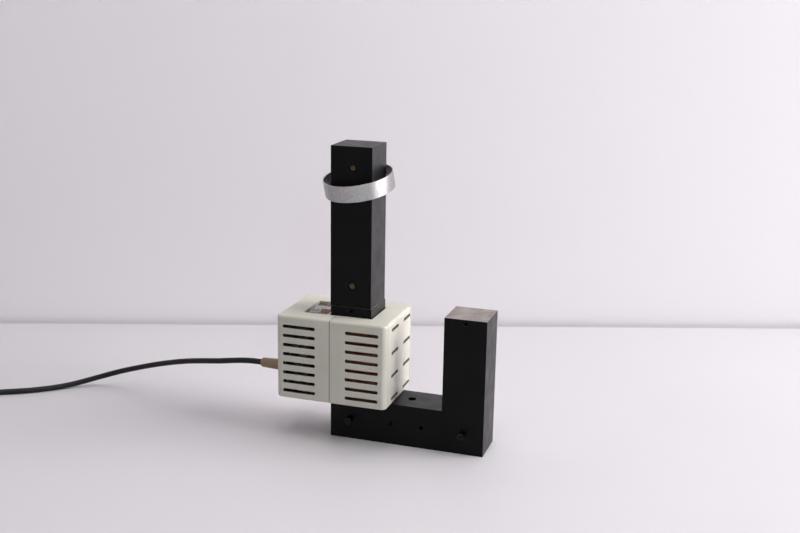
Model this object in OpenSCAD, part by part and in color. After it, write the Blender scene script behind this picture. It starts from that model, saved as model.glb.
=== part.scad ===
// Jumping ring apparatus: a mains coil on the left limb of an iron U-core, a square yoke bar that
// stands loose on that limb, and a thin aluminium ring that floats round the bar while current flows.
// Origin: the axis of the left limb, at the level of the table. +X points to the right limb, +Y to
// the rear and +Z up. The ring, the switch and the cord are drawn as they are with the coil live.

/* [Iron core] */
// Width of the U-core over both limbs
core_w = 150; // [140:1:180]
// Height of the limbs above the table
core_h = 130; // [127:1:145]
// Side of the square iron section, in the limbs and in the yoke
iron = 40; // [38:0.5:41]
// Height of the bar that joins the two limbs
base_h = 40; // [36:1:43]
// Length of the loose yoke bar
yoke_len = 150; // [130:1:180]
// How far the yoke stands to the left of its limb
yoke_left = 0.7; // [0:0.1:0.8]
// How far the yoke stands to the rear of its limb
yoke_back = 0.3; // [0:0.1:0.6]
// Bevel on the long edges of the iron
iron_bevel = 0.5; // [0.3:0.1:1]

/* [Core fittings] */
// Diameter of the ends of the two clamp studs, outside the base
stud_d = 6.5; // [6:0.5:8]
// Diameter of their shanks, which run through the base
stud_shank_d = 5; // [4:0.5:5]
// How far each stud stands out of the iron, at the front and at the rear
stud_out = 7.5; // [4:0.5:12]
// Distance of each stud from the core's outer side and from the table
stud_in = 20; // [15:1:24]
// Diameter of the dimple in each end of a stud
stud_dimple_d = 2.5; // [1.5:0.5:3]
// Depth of that dimple
stud_dimple_depth = 1.5; // [0.5:0.5:3]
// Diameter of the upright bore for a stand rod, in the middle of the base
rod_bore_d = 8; // [6:0.5:10]
// Depth of the rod bore
rod_bore_depth = 25; // [10:1:30]
// Diameter of the two small blind holes in the front of the base
front_hole_d = 4.2; // [3:0.2:5]
// Depth of those holes
front_hole_depth = 10; // [5:1:15]
// Distance between them
front_hole_pitch = 30; // [20:1:40]
// Diameter of the blind hole near the top of each limb
tip_hole_d = 3.5; // [2.5:0.5:4]
// Depth of the hole near the top of each limb
tip_hole_depth = 6; // [3:1:10]
// Distance of that hole below the end of its limb
tip_hole_drop = 4; // [3:0.5:4.5]
// Diameter of the rivets through the yoke
rivet_d = 4; // [3:0.5:5]
// Diameter of a rivet's head
rivet_head_d = 5.5; // [5:0.1:6.5]
// Height of a rivet's head
rivet_head_h = 1.2; // [0.8:0.1:1.4]
// Diameter of the recess round a rivet's head
rivet_recess_d = 8.5; // [7:0.5:10]
// Depth of that recess
rivet_recess_depth = 1.5; // [1.5:0.1:3]
// Distance of the rivets from the ends of the yoke
rivet_in = 20; // [15:1:30]
// Distance of the rivets to the right of the yoke's middle
rivet_right = 1; // [0:0.1:1.5]
// Gap all round a stud, rivet or screw in its hole
pin_fit = 0.03; // [0.02:0.01:0.06]

/* [Ring] */
// Outer diameter of the ring
ring_d = 65.4; // [65.4:0.2:72]
// Thickness of its wall
ring_wall = 1.2; // [1:0.1:1.2]
// Height of the ring
ring_h = 15.4; // [10:0.2:15.6]
// Height of its middle above the table, where it floats
ring_z = 244.2; // [200:0.1:250]
// Tilt of the ring down towards the viewer, in degrees
ring_dip_front = 11; // [6:0.5:11]
// Tilt of the ring down towards the left, in degrees
ring_dip_left = 6.2; // [3:0.1:6.2]

/* [Coil case] */
// Width of the case
case_w = 109; // [106:1:114]
// Reach of the case to the right of the limb's axis
case_right = 41.5; // [40:0.5:44]
// Depth of the case, front to rear
case_d = 79; // [78:1:86]
// Height of the case
case_h = 81; // [80:1:86]
// Thickness of its walls
wall = 2.5; // [2:0.1:2.6]
// Radius of the upright corners
corner_r = 5; // [3:0.5:6]
// Bevel on the upper and lower edges
edge_bevel = 1.4; // [0.5:0.1:1.8]
// Width of the left half of the case
left_part_w = 53.5; // [52:0.5:56]
// Gap in the seam between the halves
seam_gap = 0.3; // [0.1:0.1:0.5]
// Distance of the side panel's edges from the front and the rear of the case
panel_in = 6.5; // [6:0.5:7]
// Gap all round the side panel
panel_gap = 0.2; // [0.1:0.1:0.4]
// Clearance of the coil on the iron, on each side
core_clear = 1; // [0.9:0.1:1.4]

/* [Vents] */
// Number of slots in each bank
slot_count = 8; // [6:1:8]
// Length of a slot in the front and the rear
slot_len = 32; // [24:1:34]
// Height of every slot
slot_h = 3.1; // [2.4:0.1:3.2]
// Distance from slot to slot
slot_pitch = 9; // [8:0.5:9.2]
// Height of the middle of both banks above the bottom of the case
slot_mid = 39.5; // [38:0.5:42]
// Distance of the middle of the left bank from the left side of the case
left_bank_in = 23; // [21:0.5:24]
// Distance of the middle of the right bank from the right side of the case
right_bank_in = 24; // [22:0.5:25]
// Number of rows of slots in the side panel
side_rows = 4; // [2:1:4]
// Distance from row to row
side_pitch = 22.4; // [18:0.2:23]
// Length of a slot in the side panel
side_len = 19.4; // [14:0.2:20]
// Distance of the rear column's end from the panel's rear edge
side_in = 1.5; // [1.5:0.5:4]
// Distance between the two columns
side_gap = 15.9; // [12:0.1:20]

/* [Winding] */
// Thickness of the former's tube
former_wall = 1.3; // [1:0.1:1.4]
// Thickness of the former's flanges
flange_t = 3; // [2:0.5:3]
// Gap between the flanges and the front and rear walls of the case
flange_end = 2; // [1.8:0.1:2.4]
// Gap between the flanges and the side panel
flange_side = 3; // [2.8:0.1:3.4]
// Distance between the upper flange and the top wall of the case
flange_drop = 4; // [3.9:0.1:6]
// How far the inner layers stay inside the flanges
layers_in = 3.6; // [3.4:0.1:6]
// Radius of the inner layers' corners
layers_r = 9; // [6:0.5:12]
// Diameter of the wire in the outer layer
wire_d = 2.2; // [1.8:0.1:2.2]
// Gap between the outer layer and the layers below it
wire_seat = 0.3; // [0.3:0.1:0.5]
// Full turns of the outer layer, before the last part turn
wire_turns = 23; // [16:1:23]

/* [Divider and terminals] */
// Thickness of the board between the winding and the terminals
board_t = 1.5; // [1:0.1:1.6]
// Gap between the board and the flanges
board_gap = 0.2; // [0.1:0.1:0.3]
// Gap between the board and the front and rear walls of the case
board_end = 0.5; // [0.3:0.1:0.9]
// Clearance round the winding's wire where it passes the board
wire_pass = 0.4; // [0.3:0.1:0.6]
// Width of a brass tag on the board
tag_w = 6; // [4:0.5:6]
// Height of a brass tag
tag_h = 16; // [12:1:17]
// Thickness of a brass tag
tag_t = 1; // [0.6:0.1:1.2]
// Width of the terminal block, across its poles
block_w = 24; // [21:1:26]
// Depth of the terminal block, out from the board
block_t = 10; // [9:0.5:11]
// Height of the terminal block
block_h = 14; // [12:1:15]
// Distance between the block and the switch's blades
block_drop = 5; // [4.6:0.1:6]
// Place of its middle behind the limb's axis
block_y = -20; // [-21:0.5:-19]
// Outer diameter of a brass tube in the block
tube_d = 4.4; // [4:0.1:5]
// Bore of a brass tube
tube_bore = 2.8; // [2.4:0.1:3]
// Diameter of a clamping screw in the block
block_screw_d = 3; // [2.5:0.1:3.2]
// Width of the thermal cut-out
cutout_w = 20; // [16:1:20]
// Thickness of the thermal cut-out
cutout_t = 4.5; // [3:0.5:6]
// Height of the thermal cut-out
cutout_h = 8; // [6:0.5:10]
// Height of its lower side above the bottom wall
cutout_z = 20; // [16:0.5:22]
// Place of its middle behind the limb's axis
cutout_y = 22; // [18:0.5:23]

/* [Window and tray] */
// Distance of the window from the left side of the case
window_in = 20.5; // [20:0.1:20.6]
// Width of the window
window_w = 23.5; // [23:0.1:23.6]
// Depth of the window, front to rear
window_d = 40.5; // [38:0.5:44]
// Place of its middle behind the limb's axis
window_y = -1.2; // [-2:0.1:0]
// Thickness of the tray's floor
tray_t = 1.5; // [1.2:0.1:1.6]
// Depth of the tray's floor below the top wall
tray_drop = 1.2; // [1:0.1:1.4]
// Width of the tray's rim, out from the window
tray_rim = 0.9; // [0.6:0.1:0.9]
// Number of ribs at the rear of the tray
tray_ribs = 2; // [1:1:2]
// Depth of a rib, front to rear
rib_d = 3.6; // [3:0.1:4]
// Distance from rib to rib
rib_pitch = 6.4; // [5:0.1:6.6]
// Height of the ribs above the tray's floor
rib_h = 2.6; // [1:0.1:3]
// Length of the ribs
rib_len = 12.5; // [10:0.5:12.5]
// Gap between a rear rib and the tray's rim
rib_rear = 3; // [2.5:0.1:3.4]
// Gap round the pieces that pass the tray's floor
tray_fit = 0.1; // [0.05:0.05:0.15]

/* [Switch and lamp] */
// Width of the switch body
switch_w = 9; // [8.8:0.1:9.2]
// Length of the switch body
switch_l = 20; // [19:0.5:21]
// Height of the switch body below its flange
switch_h = 16.3; // [15:0.1:17]
// Thickness of the flange round the switch
bezel_t = 0.8; // [0.6:0.1:1]
// How far the flange stands out round the body
bezel_out = 0.25; // [0.15:0.05:0.25]
// Distance of the switch's axis from the left edge of the window
switch_in = 4.8; // [4.8:0.1:5]
// Place of the switch's middle behind the limb's axis
switch_y = 1.3; // [0:0.1:2]
// Wall of the switch body beside the rocker
switch_wall = 0.6; // [0.5:0.1:0.7]
// Wall of the switch body at the rocker's ends
switch_end = 2; // [1.8:0.1:2.1]
// Depth of the space for the rocker, below the flange's top
rocker_well = 9; // [8.6:0.1:10]
// Gap on each side of the rocker
rocker_gap = 0.2; // [0.15:0.05:0.3]
// Half length of the rocker's top
rocker_half = 6.7; // [5:0.1:6.8]
// Height of the rocker's raised rims above its pin
rocker_rise = 4.9; // [4:0.1:5]
// Depth of the rocker's hollow in the middle
rocker_dip = 1.3; // [0.5:0.1:1.6]
// Depth of the rocker's pin below the flange's top
pivot_drop = 4.3; // [4.2:0.1:4.6]
// Tilt of the rocker to either side, in degrees
rocker_tilt = 12; // [8:0.5:12]
// Diameter of the rocker's pin
pivot_d = 1.6; // [1.2:0.1:2]
// Running clearance round the rocker's pin
pivot_fit = 0.06; // [0.03:0.01:0.08]
// Width of a contact blade under the switch
blade_w = 4.8; // [3:0.1:6]
// Thickness of a contact blade
blade_t = 0.8; // [0.5:0.1:1]
// Length of a contact blade
blade_l = 8; // [6:0.5:9]
// Distance between the two blades
blade_pitch = 10; // [8:0.5:12]
// Width of the lamp's lens
lens_w = 9.5; // [8:0.1:9.6]
// Depth of the lamp's lens, front to rear
lens_d = 8; // [7.5:0.5:9]
// Wall of the lens
lens_wall = 0.9; // [0.7:0.1:1]
// Width of the lip that holds the lens under the tray
lens_lip = 0.8; // [0.5:0.1:0.9]
// Thickness of that lip
lens_lip_t = 0.9; // [0.6:0.1:0.9]
// Distance of the lens's middle from the right edge of the window
lens_in = 7.75; // [7.6:0.05:7.8]
// Place of the lens's middle behind the limb's axis
lens_y = -0.8; // [-1.5:0.1:0]
// Diameter of the neon bulb
neon_d = 4; // [3:0.1:4]
// Length of the neon bulb
neon_l = 6.6; // [5:0.1:6.8]
// Gap between the neon bulb and the flange under it
neon_gap = 0.2; // [0.1:0.1:0.3]

/* [Mains cord] */
// Diameter of the cord
cord_d = 5.6; // [5:0.1:6]
// Height of the cord's entry above the bottom of the case
cord_in_z = 17.6; // [16:0.1:19]
// Length of the strain relief outside the case
relief_len = 33.5; // [30:0.5:36]
// Diameter of the strain relief at the case
relief_d = 11.8; // [10:0.2:13]
// Diameter of the strain relief at its tip
relief_tip_d = 9; // [8:0.2:9.8]
// Clearance of the cord in the strain relief
relief_fit = 0.15; // [0.1:0.05:0.3]
// Diameter of the strain relief's collar inside the case
collar_d = 16; // [14:0.5:18]
// Thickness of that collar
collar_t = 1.5; // [1:0.1:2]
// Length of the cord's end inside the case
cord_in_len = 12.5; // [11.5:0.5:13]
// Length of the clamp, along the cord
clamp_l = 7; // [6:0.5:7.5]
// Width of the clamp
clamp_w = 18; // [17:1:20]
// Height of the clamp bar
clamp_bar_h = 4.5; // [4:0.5:5]
// Gap between the clamp bar and the clamp base
clamp_gap = 0.6; // [0.4:0.1:0.8]
// Distance of each clamp screw from the cord's axis
clamp_screw_y = 6.2; // [6.1:0.1:6.3]
// Diameter of the clamp screws
clamp_screw_d = 3; // [2.5:0.1:3]
// Depth of the clamp screws in the base
clamp_screw_l = 9; // [6:0.5:10]
// Gap between the clamp and the collar
clamp_in = 0.4; // [0.3:0.1:0.6]
// Diameter of an insulated core of the cord
core_d = 2; // [1.6:0.1:2.2]
// Straight length of a core before it turns up to the block
core_bend = 3.5; // [3.2:0.1:4]
// Diameter of the white leads
lead_d = 2; // [1.8:0.1:2.2]
// Straight length of a white lead before it bends
lead_bend = 3; // [2.8:0.1:3.2]
// How far the front lead bows out to the left
lead_bow = 22; // [16:1:23]

/* [Case screws] */
// Diameter of the screws in the bottom of the case
case_screw_d = 2.5; // [2:0.1:3]
// Diameter of their countersunk heads
case_screw_head = 4.8; // [4.2:0.1:5]
// Height of their countersunk heads
case_screw_cone = 1.4; // [1:0.1:1.6]
// Distance of the screws from the limb's axis, both ways
case_screw_at = 28; // [26:0.5:30]

/* [Plug] */
// Diameter of the plug's face
plug_d = 36; // [34:0.5:38]
// Height of the plug over its flat sides
plug_flat = 28; // [26:0.5:30]
// Length of the plug's full round part
plug_l = 20; // [18:1:24]
// Length of the plug's tapered shoulder
plug_taper = 14; // [10:1:18]
// Diameter of the shoulder at the boot
plug_neck_d = 15; // [13:0.5:17]
// Length of the boot on the cord
boot_l = 22; // [18:1:26]
// Diameter of the boot at the plug
boot_d = 11; // [10:0.5:12]
// Diameter of the boot at its tip
boot_tip_d = 8.4; // [8:0.1:9]
// Diameter of a plug pin
plug_pin_d = 4.8; // [4:0.1:5]
// Length of a plug pin
plug_pin_l = 19; // [15:0.5:20]
// Distance between the pins
plug_pin_pitch = 19; // [17:0.5:20]
// Width of an earth strip
earth_w = 8; // [5:0.5:9]
// Thickness of an earth strip
earth_t = 1.2; // [0.8:0.1:1.5]
// Length of an earth strip
earth_l = 15; // [10:1:16]

/* [Cord coil] */
// Turns in each of the two layers
coil_turns = 2.5; // [2.5:1:4.5]
// Radius of the outermost turn, at the cord's axis
coil_r = 41; // [41:1:46]
// Distance from turn to turn
coil_step = 6.2; // [6.2:0.1:6.4]
// Distance from layer to layer
coil_rise = 6.1; // [6.1:0.1:6.4]
// Width of the tie round the coil
tie_w = 9; // [6:1:14]
// Thickness of the tie
tie_t = 0.8; // [0.6:0.1:0.9]
// Gap between the tie and the cord
tie_gap = 0.2; // [0.1:0.1:0.3]

/* [Hidden] */
// Facets of a full circle, and of a circle inside a hull
$fn = 64;
HULL_FN = 32;
// Overshoot of a cut past the face that it leaves
CUT = 1;

// Places on the core
half = iron / 2;
limb_gap = core_w - 2 * iron;
right_x = core_w - iron;
core_left = -half;
base_mid = core_left + core_w / 2;
yoke_at = [-yoke_left, yoke_back, core_h];

// Places on the case
case_left = case_right - case_w;
case_z = base_h;
case_top = case_z + case_h;
floor_z = case_z + wall;
ceiling_z = case_top - wall;
seam_x = case_left + left_part_w;
bore_half = half + core_clear;
panel_half = case_d / 2 - panel_in;
side_rear_y = panel_half - side_in - side_len / 2;
side_front_y = side_rear_y - side_len - side_gap;
panel_x = case_right - wall;
slot_z = case_z + slot_mid;
left_bank_x = case_left + left_bank_in;
right_bank_x = case_right - right_bank_in;

// Places on the former and its winding
tube_half = bore_half + former_wall;
flange_x = panel_x - flange_side;
flange_y = case_d / 2 - wall - flange_end;
layers_x = flange_x - layers_in;
layers_y = flange_y - layers_in;
upper_flange_z = ceiling_z - flange_drop;
winding_z = floor_z + flange_t;
winding_h = upper_flange_z - flange_t - winding_z;
wire_out = wire_seat + wire_d / 2;
wire_x = layers_x + wire_out;
wire_y = layers_y + wire_out;
wire_r = layers_r + wire_out;
wire_margin = 0.2;
STEPS = 24;
last_step = wire_turns * STEPS + 10;
wire_pitch = (winding_h - wire_d - 2 * wire_margin) * STEPS / (last_step + 4);
wire_z = winding_z + wire_margin + wire_d / 2;
wire_end_z = wire_z + wire_pitch * (last_step + 4) / STEPS;
lead_x = -flange_x - board_gap - board_t - wire_d - 0.5;

// Places in the window
window_left = case_left + window_in;
window_right = window_left + window_w;
window_front = window_y - window_d / 2;
window_rear = window_y + window_d / 2;
tray_z = ceiling_z - tray_drop;
switch_x = window_left + switch_in;
flange_top = tray_z + bezel_t;
switch_bottom = tray_z - switch_h;
pivot_z = flange_top - pivot_drop;
lens_x = window_right - lens_in;
lens_bottom = tray_z - tray_t - lens_lip_t;
neon_z = upper_flange_z + neon_gap + neon_d / 2;

// Places on the board, with its terminals
board_right = -flange_x - board_gap;
board_half = case_d / 2 - wall - board_end;
board_left = board_right - board_t;
board_top = upper_flange_z;
block_bottom = switch_bottom - blade_l - block_drop - block_h;
block_x = board_left - block_t / 2;
pole_in = 4.5;
poles = [block_y - block_w / 3, block_y, block_y + block_w / 3];
tag_y = board_half - 1 - tag_w / 2;
tag_z = block_bottom + block_h + 3;
lead_on_tag_x = board_left - tag_t - 0.1;
cutout_bottom = floor_z + cutout_z;
cutout_x = board_left - cutout_t / 2;
tab_t = 0.8;
tab_w = 4;
tab_h = 4;

// Places on the cord
cord_in = case_z + cord_in_z;
relief_tip_x = case_left - relief_len;
cord_end_x = case_left + cord_in_len;
collar_x = case_left + wall;
clamp_x = collar_x + collar_t + clamp_in;

// The cord's route over the table, from the tip of the strain relief to the start of its coil
CORD_ROUTE = [
    [-101, 0, 57.6], [-110, 0, 57.6], [-122, 1, 56.4], [-135, 3, 54], [-150, 5, 51], [-167, 8, 48],
    [-184, 12, 44.5], [-201, 16, 40.4], [-217, 19, 36], [-232, 21.5, 31.6], [-247, 23, 27],
    [-261, 23.8, 22.6], [-275, 23.5, 18.2], [-288, 21.5, 13.9], [-300, 18, 10], [-311, 12.5, 6.8],
    [-321, 5.5, 4.4], [-330, -2.5, 3.2], [-339, -11, 2.8], [-348, -19, 2.8], [-358, -26.5, 2.8],
    [-370, -34, 2.9], [-384, -42.5, 3.1], [-398, -51, 3.4], [-412, -59.5, 3.7], [-420.5, -64.77, 3.8]
];
COIL_START = [-430, -70.7];
COIL_HEADING = 212;
COIL_LIFT = tie_t + tie_gap + cord_d / 2;
COIL_WAY = [cos(COIL_HEADING), sin(COIL_HEADING)];
COIL_MID = COIL_START + coil_r * [COIL_WAY[1], -COIL_WAY[0]];
COIL_MOUTH = COIL_START - cord_d * COIL_WAY;
// The coil turns clockwise, and a little more than whole half turns, so that its tail points to the rear
coil_sweep = 720 * coil_turns + COIL_HEADING - 90;
coil_rings = round(coil_sweep / 15);
plug_axis_z = plug_flat / 2;
PLUG_HEADING = COIL_HEADING - coil_sweep;
PLUG_WAY = [cos(PLUG_HEADING), sin(PLUG_HEADING)];
COIL_END = COIL_MID + coil_r * [-PLUG_WAY[1], PLUG_WAY[0]];
COIL_TAIL = 12;
PLUG_AT = COIL_END + COIL_TAIL * PLUG_WAY;
tie_angle = 240;
tie_inner = coil_r - coil_step * coil_turns;

// Unit vector of v
function unit(v) = v / norm(v);

// Direction of the path p at its point i
function heading(p, i) = unit(p[min(i + 1, len(p) - 1)] - p[max(i - 1, 0)]);

// Side vectors along p, each turned as little as the path lets it, from the first one across ref
function sides_of(p, ref) = [
    for (i = 0, s = unit(cross(heading(p, 0), ref)); i < len(p);
        i = i + 1, t = heading(p, min(i, len(p) - 1)), s = unit(s - (s * t) * t)) s
];

// Solid tube of diameter d and n sides along the points p
module tube(p, d, n, ref) {
    side = sides_of(p, ref);
    rings = [
        for (i = [0:len(p) - 1])
            let (t = heading(p, i), up = cross(t, side[i]))
            for (k = [0:n - 1]) p[i] + d / 2 * (cos(360 * k / n) * side[i] + sin(360 * k / n) * up)
    ];
    last = (len(p) - 1) * n;
    walls = [
        for (i = [0:len(p) - 2])
            for (k = [0:n - 1])
                let (a = i * n + k, b = i * n + (k + 1) % n)
                for (f = [[a, a + n, b], [b, a + n, b + n]]) f
    ];
    ends = [for (k = [1:n - 2]) for (f = [[0, k, k + 1], [last, last + k + 1, last + k]]) f];
    polyhedron(rings, concat(walls, ends));
}

// Least distance between points of p that lie at least skip places apart
function least_gap(p, skip) = min([
    for (i = [0:2:len(p) - skip - 1]) min([for (j = [i + skip:len(p) - 1]) norm(p[i] - p[j])])
]);

// Rounded rectangle, w by d, about the origin
module rounded(w, d, r) {
    square([w, d - 2 * r], center = true);
    square([w - 2 * r, d], center = true);
    for (x = [-1, 1], y = [-1, 1])
        translate([x * (w / 2 - r), y * (d / 2 - r)])
            circle(r);
}

// Box between two opposite corners
module span(low, high) {
    translate(low)
        cube(high - low);
}

// Cylinder along X from x0 to x1
module rod_x(x0, x1, d) {
    translate([x0, 0, 0])
        rotate([0, 90, 0])
            cylinder(h = x1 - x0, d = d);
}

// Cylinder along Y from y0 to y1
module rod_y(y0, y1, d) {
    translate([0, y1, 0])
        rotate([90, 0, 0])
            cylinder(h = y1 - y0, d = d);
}

// Square bar of the iron section, standing on the XY plane
module iron_bar(h) {
    b = half - iron_bevel;
    linear_extrude(h)
        polygon([
            [-half, -b], [-b, -half], [b, -half], [half, -b], [half, b], [b, half], [-b, half], [-half, b]
        ]);
}

// U-core, stacked from front to rear
module u_core() {
    outline = [
        [core_left, 0], [core_left + core_w, 0], [core_left + core_w, core_h],
        [core_left + iron + limb_gap, core_h], [core_left + iron + limb_gap, base_h],
        [half, base_h], [half, core_h], [core_left, core_h]
    ];
    color([0.09, 0.09, 0.1])
        difference() {
            rotate([90, 0, 0])
                linear_extrude(iron, center = true)
                    polygon(outline);
            for (x = [core_left + stud_in, core_left + core_w - stud_in])
                translate([x, 0, stud_in])
                    rod_y(-half - CUT, half + CUT, stud_shank_d + 2 * pin_fit);
            translate([base_mid, 0, base_h - rod_bore_depth])
                cylinder(h = rod_bore_depth + CUT, d = rod_bore_d);
            for (s = [-1, 1])
                translate([base_mid + s * front_hole_pitch / 2, 0, base_h / 2])
                    rod_y(-half - CUT, -half + front_hole_depth, front_hole_d);
            for (x = [0, right_x])
                translate([x, 0, core_h - tip_hole_drop])
                    rod_y(-half - CUT, -half + tip_hole_depth, tip_hole_d);
        }
}

// Two studs through the base, for a clamp
module clamp_studs() {
    color([0.3, 0.3, 0.31])
        for (x = [core_left + stud_in, core_left + core_w - stud_in])
            translate([x, 0, stud_in])
                difference() {
                    union() {
                        rod_y(-half, half, stud_shank_d);
                        rod_y(-half - stud_out, -half, stud_d);
                        rod_y(half, half + stud_out, stud_d);
                    }
                    rod_y(-half - stud_out - CUT, -half - stud_out + stud_dimple_depth, stud_dimple_d);
                    rod_y(half + stud_out - stud_dimple_depth, half + stud_out + CUT, stud_dimple_d);
                }
}

// Loose yoke bar, upright on the left limb
module yoke() {
    color([0.09, 0.09, 0.1])
        translate(yoke_at)
            difference() {
                iron_bar(yoke_len);
                for (z = [rivet_in, yoke_len - rivet_in])
                    translate([rivet_right, 0, z]) {
                        rod_y(-half - CUT, half + CUT, rivet_d + 2 * pin_fit);
                        rod_y(-half - CUT, -half + rivet_recess_depth, rivet_recess_d);
                        rod_y(half - rivet_recess_depth, half + CUT, rivet_recess_d);
                    }
            }
}

// Two brass rivets through the yoke, with a rounded head at each end
module yoke_rivets() {
    seat = half - rivet_recess_depth;
    color([0.55, 0.42, 0.2])
        for (z = [rivet_in, yoke_len - rivet_in])
            translate(yoke_at + [rivet_right, 0, z])
                union() {
                    rod_y(-seat, seat, rivet_d);
                    for (a = [90, -90])
                        rotate([a, 0, 0])
                            translate([0, 0, seat])
                                cylinder(h = rivet_head_h, d1 = rivet_head_d, d2 = rivet_head_d / 2);
                }
}

// Aluminium ring, floating tilted round the yoke
module ring() {
    color([0.78, 0.78, 0.8])
        translate([-yoke_left / 2, yoke_back / 2, ring_z])
            rotate([ring_dip_front, -ring_dip_left, 0])
                difference() {
                    cylinder(h = ring_h, d = ring_d, center = true, $fn = 96);
                    cylinder(h = ring_h + 2 * CUT, d = ring_d - 2 * ring_wall, center = true, $fn = 96);
                }
}

// Outer form of the whole case, with round upright corners and bevelled upper and lower edges
module case_block() {
    inset = 2 * edge_bevel;
    translate([case_left + case_w / 2, 0, case_z])
        hull() {
            translate([0, 0, edge_bevel])
                linear_extrude(case_h - inset)
                    rounded(case_w, case_d, corner_r, $fn = HULL_FN);
            linear_extrude(case_h)
                rounded(case_w - inset, case_d - inset, corner_r - edge_bevel, $fn = HULL_FN);
        }
}

// Hollow of the case, and the way through it for the limb
module case_hollow() {
    span([case_left + wall, -case_d / 2 + wall, floor_z], [panel_x, case_d / 2 - wall, ceiling_z]);
    span([-bore_half, -bore_half, case_z - CUT], [bore_half, bore_half, case_top + CUT]);
}

// One bank of slots, cut through the front and the rear wall
module slot_bank(mid_x) {
    for (i = [0:slot_count - 1], s = [-1, 1])
        translate([mid_x, s * (case_d - wall) / 2, slot_z + (i - (slot_count - 1) / 2) * slot_pitch])
            cube([slot_len, wall + 2 * CUT, slot_h], center = true);
}

// Countersunk holes in the bottom wall, at the given x
module case_screw_holes(x) {
    for (s = [-1, 1])
        translate([x, s * case_screw_at, case_z])
            case_screw(pin_fit, CUT);
}

// One case screw, grown by g all round, with its mouth run out by m
module case_screw(g, m) {
    translate([0, 0, -m])
        cylinder(h = m + 0.01, d = case_screw_head + 2 * g);
    cylinder(h = case_screw_cone + g, d1 = case_screw_head + 2 * g, d2 = case_screw_d + 2 * g);
    cylinder(h = wall + flange_t - 0.5 + g, d = case_screw_d + 2 * g);
}

// Left half of the case, over the switch and the terminals
module left_shell() {
    color([0.85, 0.83, 0.77])
        difference() {
            intersection() {
                case_block();
                span(
                    [case_left - CUT, -case_d, case_z - CUT],
                    [seam_x - seam_gap / 2, case_d, case_top + CUT]
                );
            }
            case_hollow();
            slot_bank(left_bank_x);
            span([window_left, window_front, ceiling_z - CUT], [window_right, window_rear, case_top + CUT]);
            translate([0, 0, cord_in])
                rod_x(case_left - CUT, collar_x + CUT, relief_d + 2 * relief_fit);
            case_screw_holes(-case_screw_at);
        }
}

// Right half of the case, round the winding
module right_shell() {
    color([0.85, 0.83, 0.77])
        difference() {
            intersection() {
                case_block();
                span(
                    [seam_x + seam_gap / 2, -case_d, case_z - CUT],
                    [case_right + CUT, case_d, case_top + CUT]
                );
            }
            case_hollow();
            slot_bank(right_bank_x);
            span(
                [panel_x - panel_gap, -panel_half - panel_gap, case_z - CUT],
                [case_right + CUT, panel_half + panel_gap, case_top + CUT]
            );
            case_screw_holes(case_screw_at);
        }
}

// Slotted panel let into the right face
module side_panel() {
    color([0.9, 0.88, 0.83])
        difference() {
            intersection() {
                case_block();
                span(
                    [panel_x, -panel_half, case_z - CUT],
                    [case_right + CUT, panel_half, case_top + CUT]
                );
            }
            for (i = [0:side_rows - 1], y = [side_front_y, side_rear_y])
                translate([panel_x + wall / 2, y, slot_z + (i - (side_rows - 1) / 2) * side_pitch])
                    cube([wall + 2 * CUT, side_len, slot_h], center = true);
        }
}

// Four countersunk screws that hold the case to the former
module case_screws() {
    color([0.7, 0.7, 0.72])
        for (x = [-1, 1], y = [-1, 1])
            translate([x * case_screw_at, y * case_screw_at, case_z])
                case_screw(0, 0);
}

// Former: a square tube with a flange near each end
module coil_former() {
    h = ceiling_z - floor_z;
    color([0.72, 0.69, 0.62])
        difference() {
            union() {
                translate([0, 0, floor_z])
                    linear_extrude(h)
                        square(2 * tube_half, center = true);
                for (z = [floor_z, upper_flange_z - flange_t])
                    translate([0, 0, z])
                        linear_extrude(flange_t)
                            square([2 * flange_x, 2 * flange_y], center = true);
            }
            translate([0, 0, floor_z - CUT])
                linear_extrude(h + 2 * CUT)
                    square(2 * bore_half, center = true);
            case_screw_holes(-case_screw_at);
            case_screw_holes(case_screw_at);
        }
}

// Inner layers of the winding, as one block
module winding_core() {
    color([0.5, 0.24, 0.12])
        translate([0, 0, winding_z])
            linear_extrude(winding_h)
                difference() {
                    rounded(2 * layers_x, 2 * layers_y, layers_r);
                    square(2 * tube_half, center = true);
                }
}

// Point i of the outer layer: each quarter turn has five points on its corner and one on its side
function wire_point(i) =
    let (
        k = (i + STEPS) % STEPS, q = floor(k / 6), j = k % 6,
        a = wire_x - wire_r, b = wire_y - wire_r,
        mid = [[a, -b], [a, b], [-a, b], [-a, -b]][q],
        angle = -90 + 90 * q + 22.5 * min(j, 4),
        corner = mid + wire_r * [cos(angle), sin(angle)],
        side = [[wire_x, 0], [0, wire_y], [-wire_x, 0], [0, -wire_y]][q],
        spot = j < 5 ? corner : side
    )
    [spot[0], spot[1], wire_z + wire_pitch * (i + 2) / STEPS];

wire_path = concat(
    [[lead_x, -wire_y, wire_z], [lead_x + wire_d, -wire_y, wire_z]],
    [for (i = [-2:last_step + 2]) wire_point(i)],
    [[lead_x + wire_d, wire_y, wire_end_z], [lead_x, wire_y, wire_end_z]]
);

// Outer layer of the winding, one unbroken wire
module outer_layer() {
    echo(outer_layer_least_gap = least_gap(wire_path, 12) - wire_d);
    color([0.62, 0.3, 0.14])
        tube(wire_path, wire_d, 6, [0, 0, 1]);
}

// Board between the winding and the terminals
module divider_board() {
    color([0.45, 0.28, 0.16])
        difference() {
            span([board_left, -board_half, floor_z], [board_right, board_half, board_top]);
            for (end = [[-wire_y, wire_z], [wire_y, wire_end_z]])
                translate([0, end[0], end[1]])
                    rod_x(board_left - CUT, board_right + CUT, wire_d + 2 * wire_pass);
        }
}

// Two brass tags on the board, for the ends of the winding
module winding_tags() {
    color([0.75, 0.58, 0.25])
        for (y = [-tag_y, tag_y])
            span([board_left - tag_t, y - tag_w / 2, tag_z], [board_left, y + tag_w / 2, tag_z + tag_h]);
}

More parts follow.
